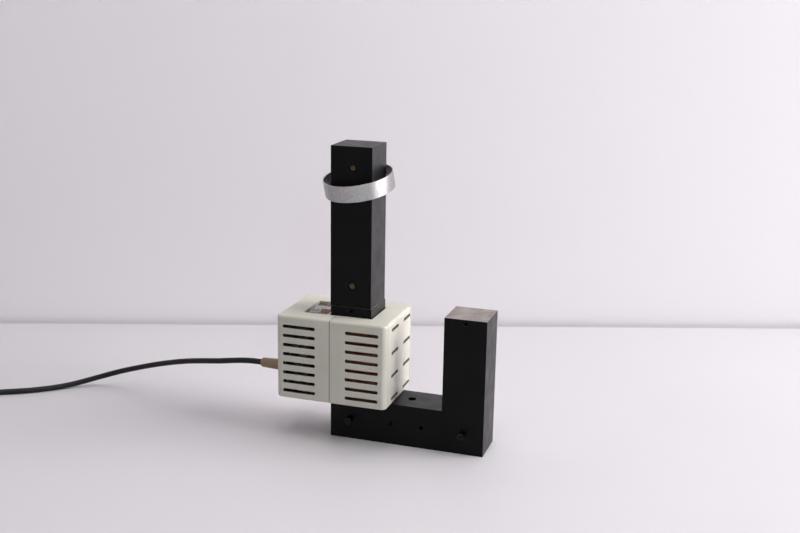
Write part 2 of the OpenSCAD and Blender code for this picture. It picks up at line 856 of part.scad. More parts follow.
// Terminal block on the board, with three poles
module terminal_block() {
    color([0.8, 0.78, 0.72])
        difference() {
            span(
                [board_left - block_t, block_y - block_w / 2, block_bottom],
                [board_left, block_y + block_w / 2, block_bottom + block_h]
            );
            for (y = poles) {
                translate([block_x, y, block_bottom - CUT])
                    cylinder(h = block_h + 2 * CUT, d = tube_d + 2 * pin_fit);
                for (z = [block_h / 4, 3 * block_h / 4])
                    translate([0, y, block_bottom + z])
                        rod_x(board_left - block_t - CUT, block_x, block_screw_d + 2 * pin_fit);
            }
        }
}

// Brass tube in each pole of the block
module terminal_tubes() {
    color([0.75, 0.58, 0.25])
        for (y = poles)
            translate([block_x, y, block_bottom + 1])
                difference() {
                    cylinder(h = block_h - 2, d = tube_d);
                    translate([0, 0, -CUT])
                        cylinder(h = block_h - 2 + 2 * CUT, d = tube_bore);
                }
}

// Two clamping screws in each pole of the block
module terminal_screws() {
    color([0.7, 0.7, 0.72])
        for (y = poles, z = [block_h / 4, 3 * block_h / 4])
            translate([0, y, block_bottom + z])
                rod_x(board_left - block_t - 0.4, block_x - tube_d / 2 - 0.05, block_screw_d);
}

// Thermal cut-out, a flat box on the board with two tabs
module thermal_cutout() {
    y0 = cutout_y - cutout_w / 2;
    color([0.25, 0.25, 0.27])
        union() {
            span(
                [board_left - cutout_t, y0, cutout_bottom],
                [board_left, y0 + cutout_w, cutout_bottom + cutout_h]
            );
            for (s = [-1, 1])
                translate([cutout_x, cutout_y + s * cutout_w / 4, cutout_bottom + cutout_h + tab_h / 2])
                    cube([tab_t, tab_w, tab_h], center = true);
        }
}

// Tray under the window, with ribs at its rear
module switch_tray() {
    low = [window_left - tray_rim, window_front - tray_rim];
    high = [window_right + tray_rim, window_rear + tray_rim];
    rib_x = window_right - 0.9;
    color([0.62, 0.62, 0.56])
        difference() {
            union() {
                difference() {
                    span([low[0], low[1], tray_z - tray_t], [high[0], high[1], ceiling_z]);
                    span([window_left, window_front, tray_z], [window_right, window_rear, case_top]);
                }
                for (i = [0:tray_ribs - 1])
                    translate([rib_x - rib_len, window_rear - rib_rear - rib_d - i * rib_pitch, tray_z - 0.5])
                        cube([rib_len, rib_d, rib_h + 0.5]);
            }
            translate([switch_x, switch_y, tray_z])
                cube([switch_w + 2 * tray_fit, switch_l + 2 * tray_fit, 2 * tray_t + CUT], center = true);
            translate([lens_x, lens_y, tray_z])
                cube([lens_w + 2 * tray_fit, lens_d + 2 * tray_fit, 2 * tray_t + CUT], center = true);
        }
}

// Body of the mains switch, open at the top for the rocker
module switch_body() {
    well_z = flange_top - rocker_well;
    color([0.75, 0.74, 0.7])
        translate([switch_x, switch_y, 0])
            difference() {
                union() {
                    translate([0, 0, switch_bottom + switch_h / 2])
                        cube([switch_w, switch_l, switch_h], center = true);
                    translate([0, 0, tray_z + bezel_t / 2])
                        cube([switch_w + 2 * bezel_out, switch_l + 2 * bezel_out, bezel_t], center = true);
                }
                span(
                    [-switch_w / 2 + switch_wall, -switch_l / 2 + switch_end, well_z],
                    [switch_w / 2 - switch_wall, switch_l / 2 - switch_end, flange_top + CUT]
                );
                translate([0, 0, pivot_z])
                    rod_x(-switch_w / 2 + 0.1, switch_w / 2 - 0.1, pivot_d + 2 * pin_fit);
            }
}

// Two contact blades under the switch
module switch_blades() {
    color([0.75, 0.58, 0.25])
        for (s = [-1, 1])
            translate([switch_x, switch_y + s * blade_pitch / 2, switch_bottom - blade_l / 2])
                cube([blade_w, blade_t, blade_l], center = true);
}

// Pin of the rocker
module rocker_pin() {
    color([0.7, 0.7, 0.72])
        translate([switch_x, switch_y, pivot_z])
            rod_x(-switch_w / 2 + 0.2, switch_w / 2 - 0.2, pivot_d);
}

// Rocker, tilted with its front edge up
module rocker() {
    w = switch_w - 2 * switch_wall - 2 * rocker_gap;
    profile = [
        [-rocker_half, rocker_rise], [-rocker_half - 0.5, rocker_rise * 0.4], [-3, -3.4],
        [3, -3.4], [rocker_half + 0.5, rocker_rise * 0.4], [rocker_half, rocker_rise],
        [0, rocker_rise - rocker_dip]
    ];
    color([0.86, 0.85, 0.85])
        translate([switch_x, switch_y, pivot_z])
            rotate([-rocker_tilt, 0, 0])
                difference() {
                    rotate([90, 0, 90])
                        linear_extrude(w, center = true)
                            polygon(profile);
                    rod_x(-w / 2 - CUT, w / 2 + CUT, pivot_d + 2 * pivot_fit);
                }
}

// Red lens of the lamp, a hollow cap with a lip under the tray
module lamp_lens() {
    color([0.75, 0.2, 0.18, 0.9])
        translate([lens_x, lens_y, 0])
            difference() {
                union() {
                    span([-lens_w / 2, -lens_d / 2, lens_bottom], [lens_w / 2, lens_d / 2, case_top]);
                    span(
                        [-lens_w / 2 - lens_lip, -lens_d / 2 - lens_lip, lens_bottom],
                        [lens_w / 2 + lens_lip, lens_d / 2 + lens_lip, lens_bottom + lens_lip_t]
                    );
                }
                span(
                    [-lens_w / 2 + lens_wall, -lens_d / 2 + lens_wall, lens_bottom - CUT],
                    [lens_w / 2 - lens_wall, lens_d / 2 - lens_wall, case_top - lens_wall]
                );
            }
}

// Neon bulb under the lens
module neon_lamp() {
    color([0.95, 0.6, 0.4])
        translate([lens_x, lens_y, neon_z])
            rod_x(-neon_l / 2, neon_l / 2, neon_d);
}

// Tapered strain relief, with a neck in the wall and a collar behind it
module strain_relief() {
    bore = cord_d / 2 + relief_fit;
    profile = [
        [bore, 0], [relief_tip_d / 2, 0], [relief_d / 2, relief_len - 2], [relief_d / 2, relief_len + wall],
        [collar_d / 2, relief_len + wall], [collar_d / 2, relief_len + wall + collar_t],
        [bore, relief_len + wall + collar_t]
    ];
    color([0.72, 0.63, 0.5])
        translate([relief_tip_x, 0, cord_in])
            rotate([0, 90, 0])
                rotate_extrude()
                    polygon(profile);
}

// End of the cord, from the strain relief's tip into the case
module cord_end() {
    color([0.08, 0.08, 0.08])
        translate([0, 0, cord_in])
            rod_x(relief_tip_x, cord_end_x, cord_d);
}

// Lower half of the cord clamp, on the floor of the case
module clamp_base() {
    color([0.8, 0.78, 0.72])
        difference() {
            span(
                [clamp_x, -clamp_w / 2, floor_z],
                [clamp_x + clamp_l, clamp_w / 2, cord_in - clamp_gap / 2]
            );
            translate([0, 0, cord_in])
                rod_x(clamp_x - CUT, clamp_x + clamp_l + CUT, cord_d + 2 * pin_fit);
            clamp_screw_holes(cord_in - clamp_gap / 2 - clamp_screw_l - pin_fit);
        }
}

// Upper half of the cord clamp
module clamp_bar() {
    color([0.8, 0.78, 0.72])
        difference() {
            span(
                [clamp_x, -clamp_w / 2, cord_in + clamp_gap / 2],
                [clamp_x + clamp_l, clamp_w / 2, cord_in + clamp_gap / 2 + clamp_bar_h]
            );
            translate([0, 0, cord_in])
                rod_x(clamp_x - CUT, clamp_x + clamp_l + CUT, cord_d + 2 * pin_fit);
            clamp_screw_holes(cord_in);
        }
}

// Holes for the clamp's screws, upwards from z0
module clamp_screw_holes(z0) {
    for (s = [-1, 1])
        translate([clamp_x + clamp_l / 2, s * clamp_screw_y, z0])
            cylinder(h = 20, d = clamp_screw_d + 2 * pin_fit);
}

// Two screws of the cord clamp
module clamp_screws() {
    head_z = cord_in + clamp_gap / 2 + clamp_bar_h;
    foot_z = cord_in - clamp_gap / 2 - clamp_screw_l;
    color([0.7, 0.7, 0.72])
        for (s = [-1, 1])
            translate([clamp_x + clamp_l / 2, s * clamp_screw_y, 0])
                union() {
                    translate([0, 0, foot_z])
                        cylinder(h = head_z - foot_z + 1, d = clamp_screw_d);
                    translate([0, 0, head_z])
                        cylinder(h = 2, d = clamp_screw_d * 1.8);
                }
}

// Core of the cord, from its place at the given angle in the cord's end, up into the pole at y
module cord_core(y, angle) {
    lay = 0.65 * core_d;
    y0 = lay * cos(angle);
    z0 = cord_in + lay * sin(angle);
    turn_x = cord_end_x + core_bend + (y - poles[0]) / 4;
    rise = block_bottom - cord_in;
    tube([
        [cord_end_x, y0, z0], [turn_x, y0, z0], [turn_x + 0.3 * core_bend, y0 - core_d, z0 + 0.2 * core_d],
        [block_x - 0.3 * core_bend, y0 + 0.85 * (y - y0), cord_in + 0.33 * rise],
        [block_x, y0 + 0.97 * (y - y0), cord_in + 0.52 * rise],
        [block_x, y, cord_in + 0.76 * rise], [block_x, y, block_bottom + pole_in]
    ], core_d, 8, [0, 1, 0]);
}

// Live core of the cord
module core_live() {
    color([0.4, 0.22, 0.12])
        cord_core(poles[0], 210);
}

// Neutral core of the cord
module core_neutral() {
    color([0.15, 0.3, 0.6])
        cord_core(poles[1], 90);
}

// Earth core of the cord
module core_earth() {
    color([0.6, 0.7, 0.15])
        cord_core(poles[2], 330);
}

// Leads from the block to the switch, and from the switch to the cut-out
module switch_leads() {
    from_z = block_bottom + block_h - pole_in;
    top_z = block_bottom + block_h;
    over_z = top_z + block_drop - 0.2 * lead_bend;
    blade_z = switch_bottom - blade_l;
    front_y = switch_y - blade_pitch / 2;
    rear_y = switch_y + blade_pitch / 2;
    tab_y = cutout_y - cutout_w / 4;
    tab_z = cutout_bottom + cutout_h + tab_h;
    color([0.85, 0.85, 0.83]) {
        tube([
            [block_x, poles[0], from_z], [block_x, poles[0], top_z + 0.5 * lead_bend],
            [block_x - 0.5 * lead_bend, poles[0] + 0.3 * lead_bend, top_z + 1.2 * lead_bend],
            [block_x - lead_bend, poles[0] + 1.3 * lead_bend, over_z],
            [block_x - lead_bend, front_y - 2.6 * lead_bend, over_z],
            [switch_x - 0.3 * lead_bend, front_y - lead_bend, blade_z - 1.6 * lead_bend],
            [switch_x, front_y, blade_z - lead_bend], [switch_x, front_y, blade_z]
        ], lead_d, 8, [1, 0, 0]);
        tube([
            [switch_x, rear_y, blade_z], [switch_x, rear_y, blade_z - lead_bend],
            [switch_x, rear_y + 0.3 * lead_bend, blade_z - 2.6 * lead_bend],
            [cutout_x, tab_y, tab_z + 2 * lead_bend], [cutout_x, tab_y, tab_z + lead_bend],
            [cutout_x, tab_y, tab_z]
        ], lead_d, 8, [1, 0, 0]);
    }
}

// Leads from the block to the front tag, and from the cut-out to the rear tag
module tag_leads() {
    from_z = block_bottom + block_h - pole_in;
    top_z = block_bottom + block_h;
    front_z = tag_z + tag_h - tag_w / 2;
    rear_z = tag_z + tag_w / 2;
    tab_y = cutout_y + cutout_w / 4;
    tab_z = cutout_bottom + cutout_h + tab_h;
    gap_z = rear_z - tab_z;
    color([0.85, 0.85, 0.83]) {
        tube([
            [block_x, poles[1], from_z], [block_x, poles[1], top_z + 0.3 * lead_bend],
            [block_x + 0.1 * lead_bend, poles[1] - 0.3 * lead_bend, top_z + 1.6 * lead_bend],
            [block_x + 0.2 * lead_bend, poles[1] - 1.3 * lead_bend, front_z - 1.3 * lead_bend],
            [block_x, -tag_y + lead_bend, front_z - 0.3 * lead_bend], [block_x, -tag_y, front_z],
            [lead_on_tag_x - 0.6 * lead_bend, -tag_y, front_z], [lead_on_tag_x, -tag_y, front_z]
        ], lead_d, 8, [1, 0, 0]);
        tube([
            [cutout_x, tab_y, tab_z], [cutout_x, tab_y, tab_z + 0.15 * gap_z],
            [cutout_x - 0.3 * lead_bend, tab_y + 0.2 * (tag_y - tab_y), tab_z + 0.5 * gap_z],
            [cutout_x - lead_bend, tag_y, rear_z - 0.25 * gap_z],
            [cutout_x - 1.2 * lead_bend, tag_y, rear_z - 0.08 * gap_z],
            [lead_on_tag_x - 0.7 * lead_bend, tag_y, rear_z], [lead_on_tag_x, tag_y, rear_z]
        ], lead_d, 8, [1, 0, 0]);
    }
}

// White leads: the winding's start to the front tag, its end to the rear tag
module winding_leads() {
    front_z = tag_z + tag_w / 2;
    rear_z = tag_z + tag_h - tag_w / 2;
    rise = front_z - wire_z;
    bow = [
        [0.14, 0], [0.41, 0.02], [0.73, 0.1], [0.93, 0.23],
        [1, 0.39], [0.91, 0.58], [0.64, 0.81], [0.32, 0.96]
    ];
    color([0.92, 0.92, 0.9]) {
        tube(concat(
            [[lead_x, -wire_y, wire_z]],
            [for (b = bow) [lead_x - b[0] * lead_bow, -wire_y, wire_z + b[1] * rise]],
            [[lead_on_tag_x - 0.6 * lead_bend, -wire_y, front_z], [lead_on_tag_x, -wire_y, front_z]]
        ), lead_d, 8, [0, 1, 0]);
        tube([
            [lead_x, wire_y, wire_end_z], [lead_x - lead_bend, wire_y, wire_end_z],
            [lead_x - 2.2 * lead_bend, wire_y, wire_end_z - 0.4 * lead_bend],
            [lead_x - 2.2 * lead_bend, wire_y, rear_z + 0.2 * lead_bend],
            [lead_on_tag_x - 0.8 * lead_bend, wire_y, rear_z], [lead_on_tag_x, wire_y, rear_z]
        ], lead_d, 8, [0, 1, 0]);
    }
}

// Free stretch of the mains cord
module mains_cord() {
    start = [relief_tip_x, 0, cord_in];
    finish = [COIL_MOUTH[0], COIL_MOUTH[1], COIL_LIFT];
    between = [for (i = [1:len(CORD_ROUTE) - 1]) CORD_ROUTE[i]];
    color([0.08, 0.08, 0.08])
        tube(concat([start], between, [finish]), cord_d, 8, [0, 0, 1]);
}

// Smooth step from 0 to 1
function ease(t) = let (u = min(1, max(0, t))) u * u * (3 - 2 * u);

// Point of the cord's coil at the angle a, counted from where it starts
function coil_point(a) =
    let (
        r = coil_r - coil_step * min(a, coil_sweep - a) / 360,
        climb = ease((a - coil_sweep / 2 + 90) / 180),
        rise = ease((a - coil_sweep + 45) / 45),
        z = COIL_LIFT + coil_rise * climb + (plug_axis_z - COIL_LIFT - coil_rise) * rise,
        at = COIL_HEADING + 90 - a
    )
    [COIL_MID[0] + r * cos(at), COIL_MID[1] + r * sin(at), z];

// The coil's route: a straight start, two layers of turns that rise to the plug, then a short tail
coil_path = concat(
    [[COIL_MOUTH[0], COIL_MOUTH[1], COIL_LIFT]],
    [for (i = [0:coil_rings]) coil_point(coil_sweep * i / coil_rings)],
    [
        for (t = [0.5, 1])
            let (at = COIL_END + t * COIL_TAIL * PLUG_WAY)
            [at[0], at[1], plug_axis_z]
    ]
);

// Put-away coil of the cord, one unbroken tube that ends at the plug's boot
module cord_coil() {
    echo(cord_coil_least_gap = least_gap(coil_path, 12) - cord_d);
    color([0.08, 0.08, 0.08])
        tube(coil_path, cord_d, 6, [0, 0, 1]);
}

// Tie round the turns of the coil
module cord_tie() {
    reach = cord_d / 2 + tie_gap;
    low = tie_inner - reach;
    high = coil_r + reach;
    top = COIL_LIFT + coil_rise + reach;
    color([0.12, 0.12, 0.13])
        translate([COIL_MID[0], COIL_MID[1], 0])
            rotate([0, 0, tie_angle])
                difference() {
                    span([low - tie_t, -tie_w / 2, 0], [high + tie_t, tie_w / 2, top + tie_t]);
                    span([low, -tie_w, tie_t], [high, tie_w, top]);
                }
}

// Places its children at the plug, with +Z along the plug's axis, away from the cord, and +X to the table
module at_plug() {
    translate([PLUG_AT[0], PLUG_AT[1], plug_axis_z])
        rotate([0, 90, PLUG_HEADING])
            children();
}

// Tapered boot between the cord and the plug
module plug_boot() {
    color([0.1, 0.1, 0.1])
        at_plug()
            cylinder(h = boot_l, d1 = boot_tip_d, d2 = boot_d);
}

// Body of the plug, round with two flat sides
module plug_body() {
    color([0.1, 0.1, 0.1])
        at_plug()
            translate([0, 0, boot_l])
                difference() {
                    intersection() {
                        union() {
                            cylinder(h = plug_taper, d1 = plug_neck_d, d2 = plug_d);
                            translate([0, 0, plug_taper])
                                cylinder(h = plug_l, d = plug_d);
                        }
                        span(
                            [-plug_flat / 2, -plug_d, 0],
                            [plug_flat / 2, plug_d, plug_taper + plug_l]
                        );
                    }
                    for (s = [-1, 1])
                        translate([s * (plug_flat / 2 - earth_t / 2), 0, plug_taper + plug_l - earth_l / 2])
                            translate([s * CUT / 2, 0, 0])
                                cube([earth_t + CUT, earth_w, earth_l], center = true);
                }
}

// Two round pins of the plug
module plug_pins() {
    color([0.75, 0.75, 0.72])
        at_plug()
            for (s = [-1, 1])
                translate([0, s * plug_pin_pitch / 2, boot_l + plug_taper + plug_l])
                    cylinder(h = plug_pin_l, d = plug_pin_d);
}

// Earth strips in the flat sides of the plug
module earth_strips() {
    color([0.75, 0.75, 0.72])
        at_plug()
            for (s = [-1, 1])
                translate([s * (plug_flat / 2 - earth_t / 2), 0, boot_l + plug_taper + plug_l - earth_l / 2])
                    cube([earth_t, earth_w, earth_l], center = true);
}

u_core();
clamp_studs();
yoke();
yoke_rivets();
ring();
left_shell();
right_shell();
side_panel();
case_screws();
coil_former();
winding_core();
outer_layer();
divider_board();
winding_tags();
terminal_block();
terminal_tubes();
terminal_screws();
thermal_cutout();
switch_tray();
switch_body();
switch_blades();
rocker_pin();
rocker();
lamp_lens();
neon_lamp();
strain_relief();
cord_end();
clamp_base();
clamp_bar();
clamp_screws();
core_live();
core_neutral();
core_earth();
switch_leads();
tag_leads();
winding_leads();
mains_cord();
cord_coil();
cord_tie();
plug_boot();
plug_body();
plug_pins();
earth_strips();
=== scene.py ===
# Jumping ring apparatus: the looks of the iron core, the mains coil in its vented case, the floating
# aluminium ring and the mains cord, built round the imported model.
import math

import bmesh
import bpy
import numpy as np
from mathutils import Matrix, Vector


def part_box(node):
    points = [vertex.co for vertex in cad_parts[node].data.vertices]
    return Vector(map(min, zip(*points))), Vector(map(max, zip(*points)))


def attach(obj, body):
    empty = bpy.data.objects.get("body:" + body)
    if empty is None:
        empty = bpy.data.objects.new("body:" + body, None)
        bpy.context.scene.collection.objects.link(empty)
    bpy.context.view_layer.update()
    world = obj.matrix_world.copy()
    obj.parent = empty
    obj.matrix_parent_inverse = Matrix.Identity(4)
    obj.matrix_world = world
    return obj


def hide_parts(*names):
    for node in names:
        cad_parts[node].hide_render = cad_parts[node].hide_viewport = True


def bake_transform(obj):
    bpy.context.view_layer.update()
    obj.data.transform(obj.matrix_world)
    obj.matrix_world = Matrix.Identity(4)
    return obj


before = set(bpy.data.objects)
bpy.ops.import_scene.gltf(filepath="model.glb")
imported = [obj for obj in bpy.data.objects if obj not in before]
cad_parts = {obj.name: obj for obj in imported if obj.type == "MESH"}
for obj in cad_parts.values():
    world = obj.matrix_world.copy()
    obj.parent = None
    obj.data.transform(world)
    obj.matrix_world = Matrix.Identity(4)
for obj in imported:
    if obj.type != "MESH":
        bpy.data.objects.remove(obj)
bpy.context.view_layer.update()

MM = 0.001


def mm(*values):
    """A point given in millimetres, in metres."""
    return Vector([value * MM for value in values])


def span_of(node):
    """Lowest and highest corner of a node, in millimetres."""
    low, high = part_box(node)
    return low / MM, high / MM


# Places taken from the frame, in millimetres
CORE_TOP = span_of("u_core")[1].z
YOKE_LOW, YOKE_HIGH = span_of("yoke")
IRON = YOKE_HIGH.x - YOKE_LOW.x
CASE_LOW, CASE_HIGH = span_of("left_shell")
CASE_RIGHT = span_of("side_panel")[1].x
SEAM_LEFT = CASE_HIGH.x
SEAM_RIGHT = span_of("right_shell")[0].x
PANEL_LOW, PANEL_HIGH = span_of("side_panel")
RELIEF_LOW, RELIEF_HIGH = span_of("strain_relief")
TRAY_LOW, TRAY_HIGH = span_of("switch_tray")
WIRE_LOW, WIRE_HIGH = span_of("outer_layer")
RING_LOW, RING_HIGH = span_of("ring")

# Sizes of the case that its box doesn't give, in millimetres
WALL = 2.5
CORNER_R = 5.2
RIM_R = 2.6
EDGE_R = 0.15
CORE_CLEAR = 1.0
WAY_R = 0.8
SLOT_H = 3.1
SLOT_R = 0.8
SLOT_LEN = 32.0
SLOT_PITCH = 9.0
SLOT_ROWS = 8
SLOT_MID_Z = CASE_LOW.z + 39.5
LEFT_BANK_X = CASE_LOW.x + 23.0
RIGHT_BANK_X = CASE_RIGHT - 24.0
SIDE_LEN = 19.4
SIDE_PITCH = 22.4
SIDE_ROWS = 4
SIDE_MARGIN = 1.5
SIDE_GAP = 15.9
SIDE_REAR_Y = PANEL_HIGH.y - SIDE_MARGIN - SIDE_LEN / 2
SIDE_FRONT_Y = SIDE_REAR_Y - SIDE_LEN - SIDE_GAP
CORD_AXIS_Z = CASE_LOW.z + 17.6
CORD_D = 5.6


# Meshes

def new_piece(name, mesh, materials=()):
    """An object in the scene for a mesh and its materials."""
    for material in materials:
        mesh.materials.append(material)
    piece = bpy.data.objects.new(name, mesh)
    bpy.context.scene.collection.objects.link(piece)
    return piece


def mesh_piece(name, points, faces, material=None):
    """A piece from points in millimetres and faces."""
    mesh = bpy.data.meshes.new(name)
    mesh.from_pydata([Vector(point) * MM for point in points], [], faces)
    mesh.validate()
    return new_piece(name, mesh, [material] if material else [])


def bm_piece(name, bm, materials=()):
    """A piece from a bmesh that is already in metres."""
    mesh = bpy.data.meshes.new(name)
    bmesh.ops.recalc_face_normals(bm, faces=bm.faces)
    bm.to_mesh(mesh)
    bm.free()
    return new_piece(name, mesh, materials)


def outward(piece, weld=False):
    """The piece with its faces turned outwards, and with its doubled points welded first where asked."""
    bm = bmesh.new()
    bm.from_mesh(piece.data)
    if weld:
        bmesh.ops.remove_doubles(bm, verts=bm.verts, dist=1e-7)
        bmesh.ops.dissolve_degenerate(bm, edges=bm.edges, dist=1e-8)
    bmesh.ops.recalc_face_normals(bm, faces=bm.faces)
    bm.to_mesh(piece.data)
    bm.free()
    return piece


def smooth(piece, angle):
    """Smooth shading, but for edges sharper than the angle in degrees."""
    mesh = piece.data
    mesh.polygons.foreach_set("use_smooth", [True] * len(mesh.polygons))
    mesh.set_sharp_from_angle(angle=math.radians(angle))
    return piece


def evened(piece):
    """Smooth shading in which the large flat faces stay flat and only the narrow rounded ones turn."""
    smooth(piece, 40)
    even = piece.modifiers.new("even", "WEIGHTED_NORMAL")
    even.mode = "FACE_AREA"
    even.weight = 100
    even.keep_sharp = True
    return baked(piece)


def baked(piece):
    """The piece with its modifiers made part of its mesh."""
    depsgraph = bpy.context.evaluated_depsgraph_get()
    mesh = bpy.data.meshes.new_from_object(piece.evaluated_get(depsgraph))
    piece.modifiers.clear()
    piece.data = mesh
    return piece


def joined(name, pieces):
    """One cutter from several."""
    bm = bmesh.new()
    for piece in pieces:
        bm.from_mesh(piece.data)
        bpy.data.objects.remove(piece)
    return bm_piece(name, bm)


def box_mesh(low, high):
    """A box between two corners in millimetres, as a bmesh in metres."""
    bm = bmesh.new()
    bmesh.ops.create_cube(bm, size=1.0)
    bmesh.ops.scale(bm, vec=(high - low) * MM, verts=bm.verts)
    bmesh.ops.translate(bm, vec=(high + low) / 2 * MM, verts=bm.verts)
    return bm


def box_cutter(low, high):
    """A box that is taken out of another piece."""
    return bm_piece("cutter", box_mesh(Vector(low), Vector(high)))


def turned(name, profile, centre, axis, sides, material=None):
    """A solid of revolution. The profile is a closed loop of (radius, place along the axis)."""
    turn = Vector(axis).to_track_quat("Z", "Y").to_matrix()
    points = []
    count = len(profile)
    for k in range(sides):
        angle = 2 * math.pi * k / sides
        for radius, along in profile:
            local = Vector((radius * math.cos(angle), radius * math.sin(angle), along))
            points.append(Vector(centre) + turn @ local)
    faces = []
    for k in range(sides):
        for i in range(count):
            j = (i + 1) % count
            n = (k + 1) % sides
            faces.append((k * count + i, n * count + i, n * count + j, k * count + j))
    return outward(mesh_piece(name, points, faces, material), weld=True)


def arc(centre, radius, start, end, steps):
    """Points on an arc in a profile, angles in degrees."""
    cx, cy = centre
    angles = [math.radians(start + (end - start) * i / steps) for i in range(steps + 1)]
    return [(cx + radius * math.cos(a), cy + radius * math.sin(a)) for a in angles]


def slab(name, outline, low, high, axis):
    """A prism: an outline in two coordinates, between two heights along the third."""
    order = {"X": lambda u, v, w: (w, u, v), "Y": lambda u, v, w: (u, w, v), "Z": lambda u, v, w: (u, v, w)}
    place = order[axis]
    count = len(outline)
    points = [place(u, v, w) for w in (low, high) for u, v in outline]
    faces = [tuple(range(count))[::-1], tuple(range(count, 2 * count))]
    for i in range(count):
        j = (i + 1) % count
        faces.append((i, j, count + j, count + i))
    return outward(mesh_piece(name, points, faces))


def rounded_outline(cx, cy, width, height, radius, steps):
    """Outline of a rounded rectangle."""
    points = []
    for sx, sy, start in ((1, -1, -90), (1, 1, 0), (-1, 1, 90), (-1, -1, 180)):
        centre = (cx + sx * (width / 2 - radius), cy + sy * (height / 2 - radius))
        points += arc(centre, radius, start, start + 90, steps)
    return points


def soften_edges(piece, width, angle, material=-1):
    """Rounds the edges that are sharper than the angle in degrees, and may give the new faces a finish."""
    soften = piece.modifiers.new("soften", "BEVEL")
    soften.width = width * MM
    soften.segments = 2
    soften.limit_method = "ANGLE"
    soften.angle_limit = math.radians(angle)
    soften.material = material


def carved(piece, cutters):
    """Takes the cutters out of a piece, and softens its new edges."""
    for cutter in cutters:
        modifier = piece.modifiers.new("cut", "BOOLEAN")
        modifier.object = cutter
        modifier.operation = "DIFFERENCE"
        modifier.solver = "EXACT"
    soften_edges(piece, EDGE_R, 35)
    baked(piece)
    for cutter in cutters:
        bpy.data.objects.remove(cutter)


# Rows and wires made by geometry nodes

def add(tree, kind, settings=None, inputs=None, **links):
    """A node with its settings, its input values and its links, given as socket name and source."""
    node = tree.nodes.new(kind)
    for key, value in (settings or {}).items():
        setattr(node, key, value)
    for key, value in (inputs or {}).items():
        node.inputs[key].default_value = value
    for key, source in links.items():
        tree.links.new(source, node.inputs[key.replace("_", " ")])
    return node


def node_group(name, inputs):
    """An empty geometry group with named inputs, each a name, a socket type and a value."""
    group = bpy.data.node_groups.new(name, "GeometryNodeTree")
    for label, kind, value in inputs:
        socket = group.interface.new_socket(name=label, in_out="INPUT", socket_type=kind)
        if value is not None:
            socket.default_value = value
    group.interface.new_socket(name="Geometry", in_out="OUTPUT", socket_type="NodeSocketGeometry")
    return group, group.nodes.new("NodeGroupInput"), group.nodes.new("NodeGroupOutput")


def close_group(group, given, made, geometry):
    """Ends a geometry group with real copies in the given material."""
    real = add(group, "GeometryNodeRealizeInstances", Geometry=geometry).outputs["Geometry"]
    painted = add(group, "GeometryNodeSetMaterial", Geometry=real, Material=given.outputs["Material"])
    group.links.new(painted.outputs["Geometry"], made.inputs["Geometry"])
    return group


def grown(name, mesh, group, values):
    """A piece that a geometry group makes from a mesh and the given inputs."""
    piece = new_piece(name, mesh)
    modifier = piece.modifiers.new("nodes", "NODES")
    modifier.node_group = group
    for item in group.interface.items_tree:
        if item.in_out == "INPUT" and item.name in values:
            modifier[item.identifier] = values[item.name]
    return baked(piece)


def row_group():
    """Geometry group: one piece repeated along a straight row."""
    group, given, made = node_group(
        "row_of_pieces",
        [
            ("Piece", "NodeSocketObject", None), ("Count", "NodeSocketInt", 2),
            ("First", "NodeSocketVector", (0, 0, 0)), ("Step", "NodeSocketVector", (0, 0, 0.01)),
            ("Material", "NodeSocketMaterial", None),
        ],
    )
    line = add(
        group, "GeometryNodeMeshLine", {"mode": "OFFSET"},
        Count=given.outputs["Count"], Start_Location=given.outputs["First"], Offset=given.outputs["Step"],
    )
    piece = add(
        group, "GeometryNodeObjectInfo", {"transform_space": "ORIGINAL"}, Object=given.outputs["Piece"]
    )
    copies = add(
        group, "GeometryNodeInstanceOnPoints", Points=line.outputs["Mesh"], Instance=piece.outputs["Geometry"]
    )
    return close_group(group, given, made, copies.outputs["Instances"])


ROW = row_group()


def row(name, piece, count, first, step, material=None):
    """A row of copies of a piece, whose first copy and step are given in millimetres."""
    values = {
        "Piece": piece, "Count": count, "First": [v * MM for v in first], "Step": [v * MM for v in step],
        "Material": material,
    }
    line = grown(name, bpy.data.meshes.new(name), ROW, values)
    bpy.data.objects.remove(piece)
    return line


def wire_group():
    """Geometry group: a round wire laid along a path, with closed ends."""
    group, given, made = node_group(
        "wire_on_path",
        [
            ("Path", "NodeSocketGeometry", None), ("Diameter", "NodeSocketFloat", 0.002),
            ("Sides", "NodeSocketInt", 12), ("Material", "NodeSocketMaterial", None),
        ],
    )
    route = add(group, "GeometryNodeMeshToCurve", Mesh=given.outputs["Path"])
    half = add(group, "ShaderNodeMath", {"operation": "DIVIDE"}, {1: 2.0}, Value=given.outputs["Diameter"])
    section = add(
        group, "GeometryNodeCurvePrimitiveCircle",
        Radius=half.outputs["Value"], Resolution=given.outputs["Sides"],
    )
    wound = add(
        group, "GeometryNodeCurveToMesh", inputs={"Fill Caps": True},
        Curve=route.outputs["Curve"], Profile_Curve=section.outputs["Curve"],
    )
    return close_group(group, given, made, wound.outputs["Mesh"])


WIRE = wire_group()


def wire(name, path, diameter, sides, material):
    """A round wire along a path in millimetres."""
    mesh = bpy.data.meshes.new(name)
    mesh.from_pydata([Vector(point) * MM for point in path], [(i, i + 1) for i in range(len(path) - 1)], [])
    values = {"Diameter": diameter * MM, "Sides": sides, "Material": material}
    return smooth(grown(name, mesh, WIRE, values), 60)


def placed(piece, body, slot, *nodes):
    """Hands a finished piece to the frame: its body and the nodes that it stands for; its slot is not used.
    """
    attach(piece, body)
    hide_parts(*nodes)


# Materials

def colour(code):
    """A colour written as sRGB hex, in linear values."""
    values = [int(code[i:i + 2], 16) / 255 for i in (1, 3, 5)]
    linear = [v / 12.92 if v <= 0.04045 else ((v + 0.055) / 1.055) ** 2.4 for v in values]
    return (*linear, 1.0)


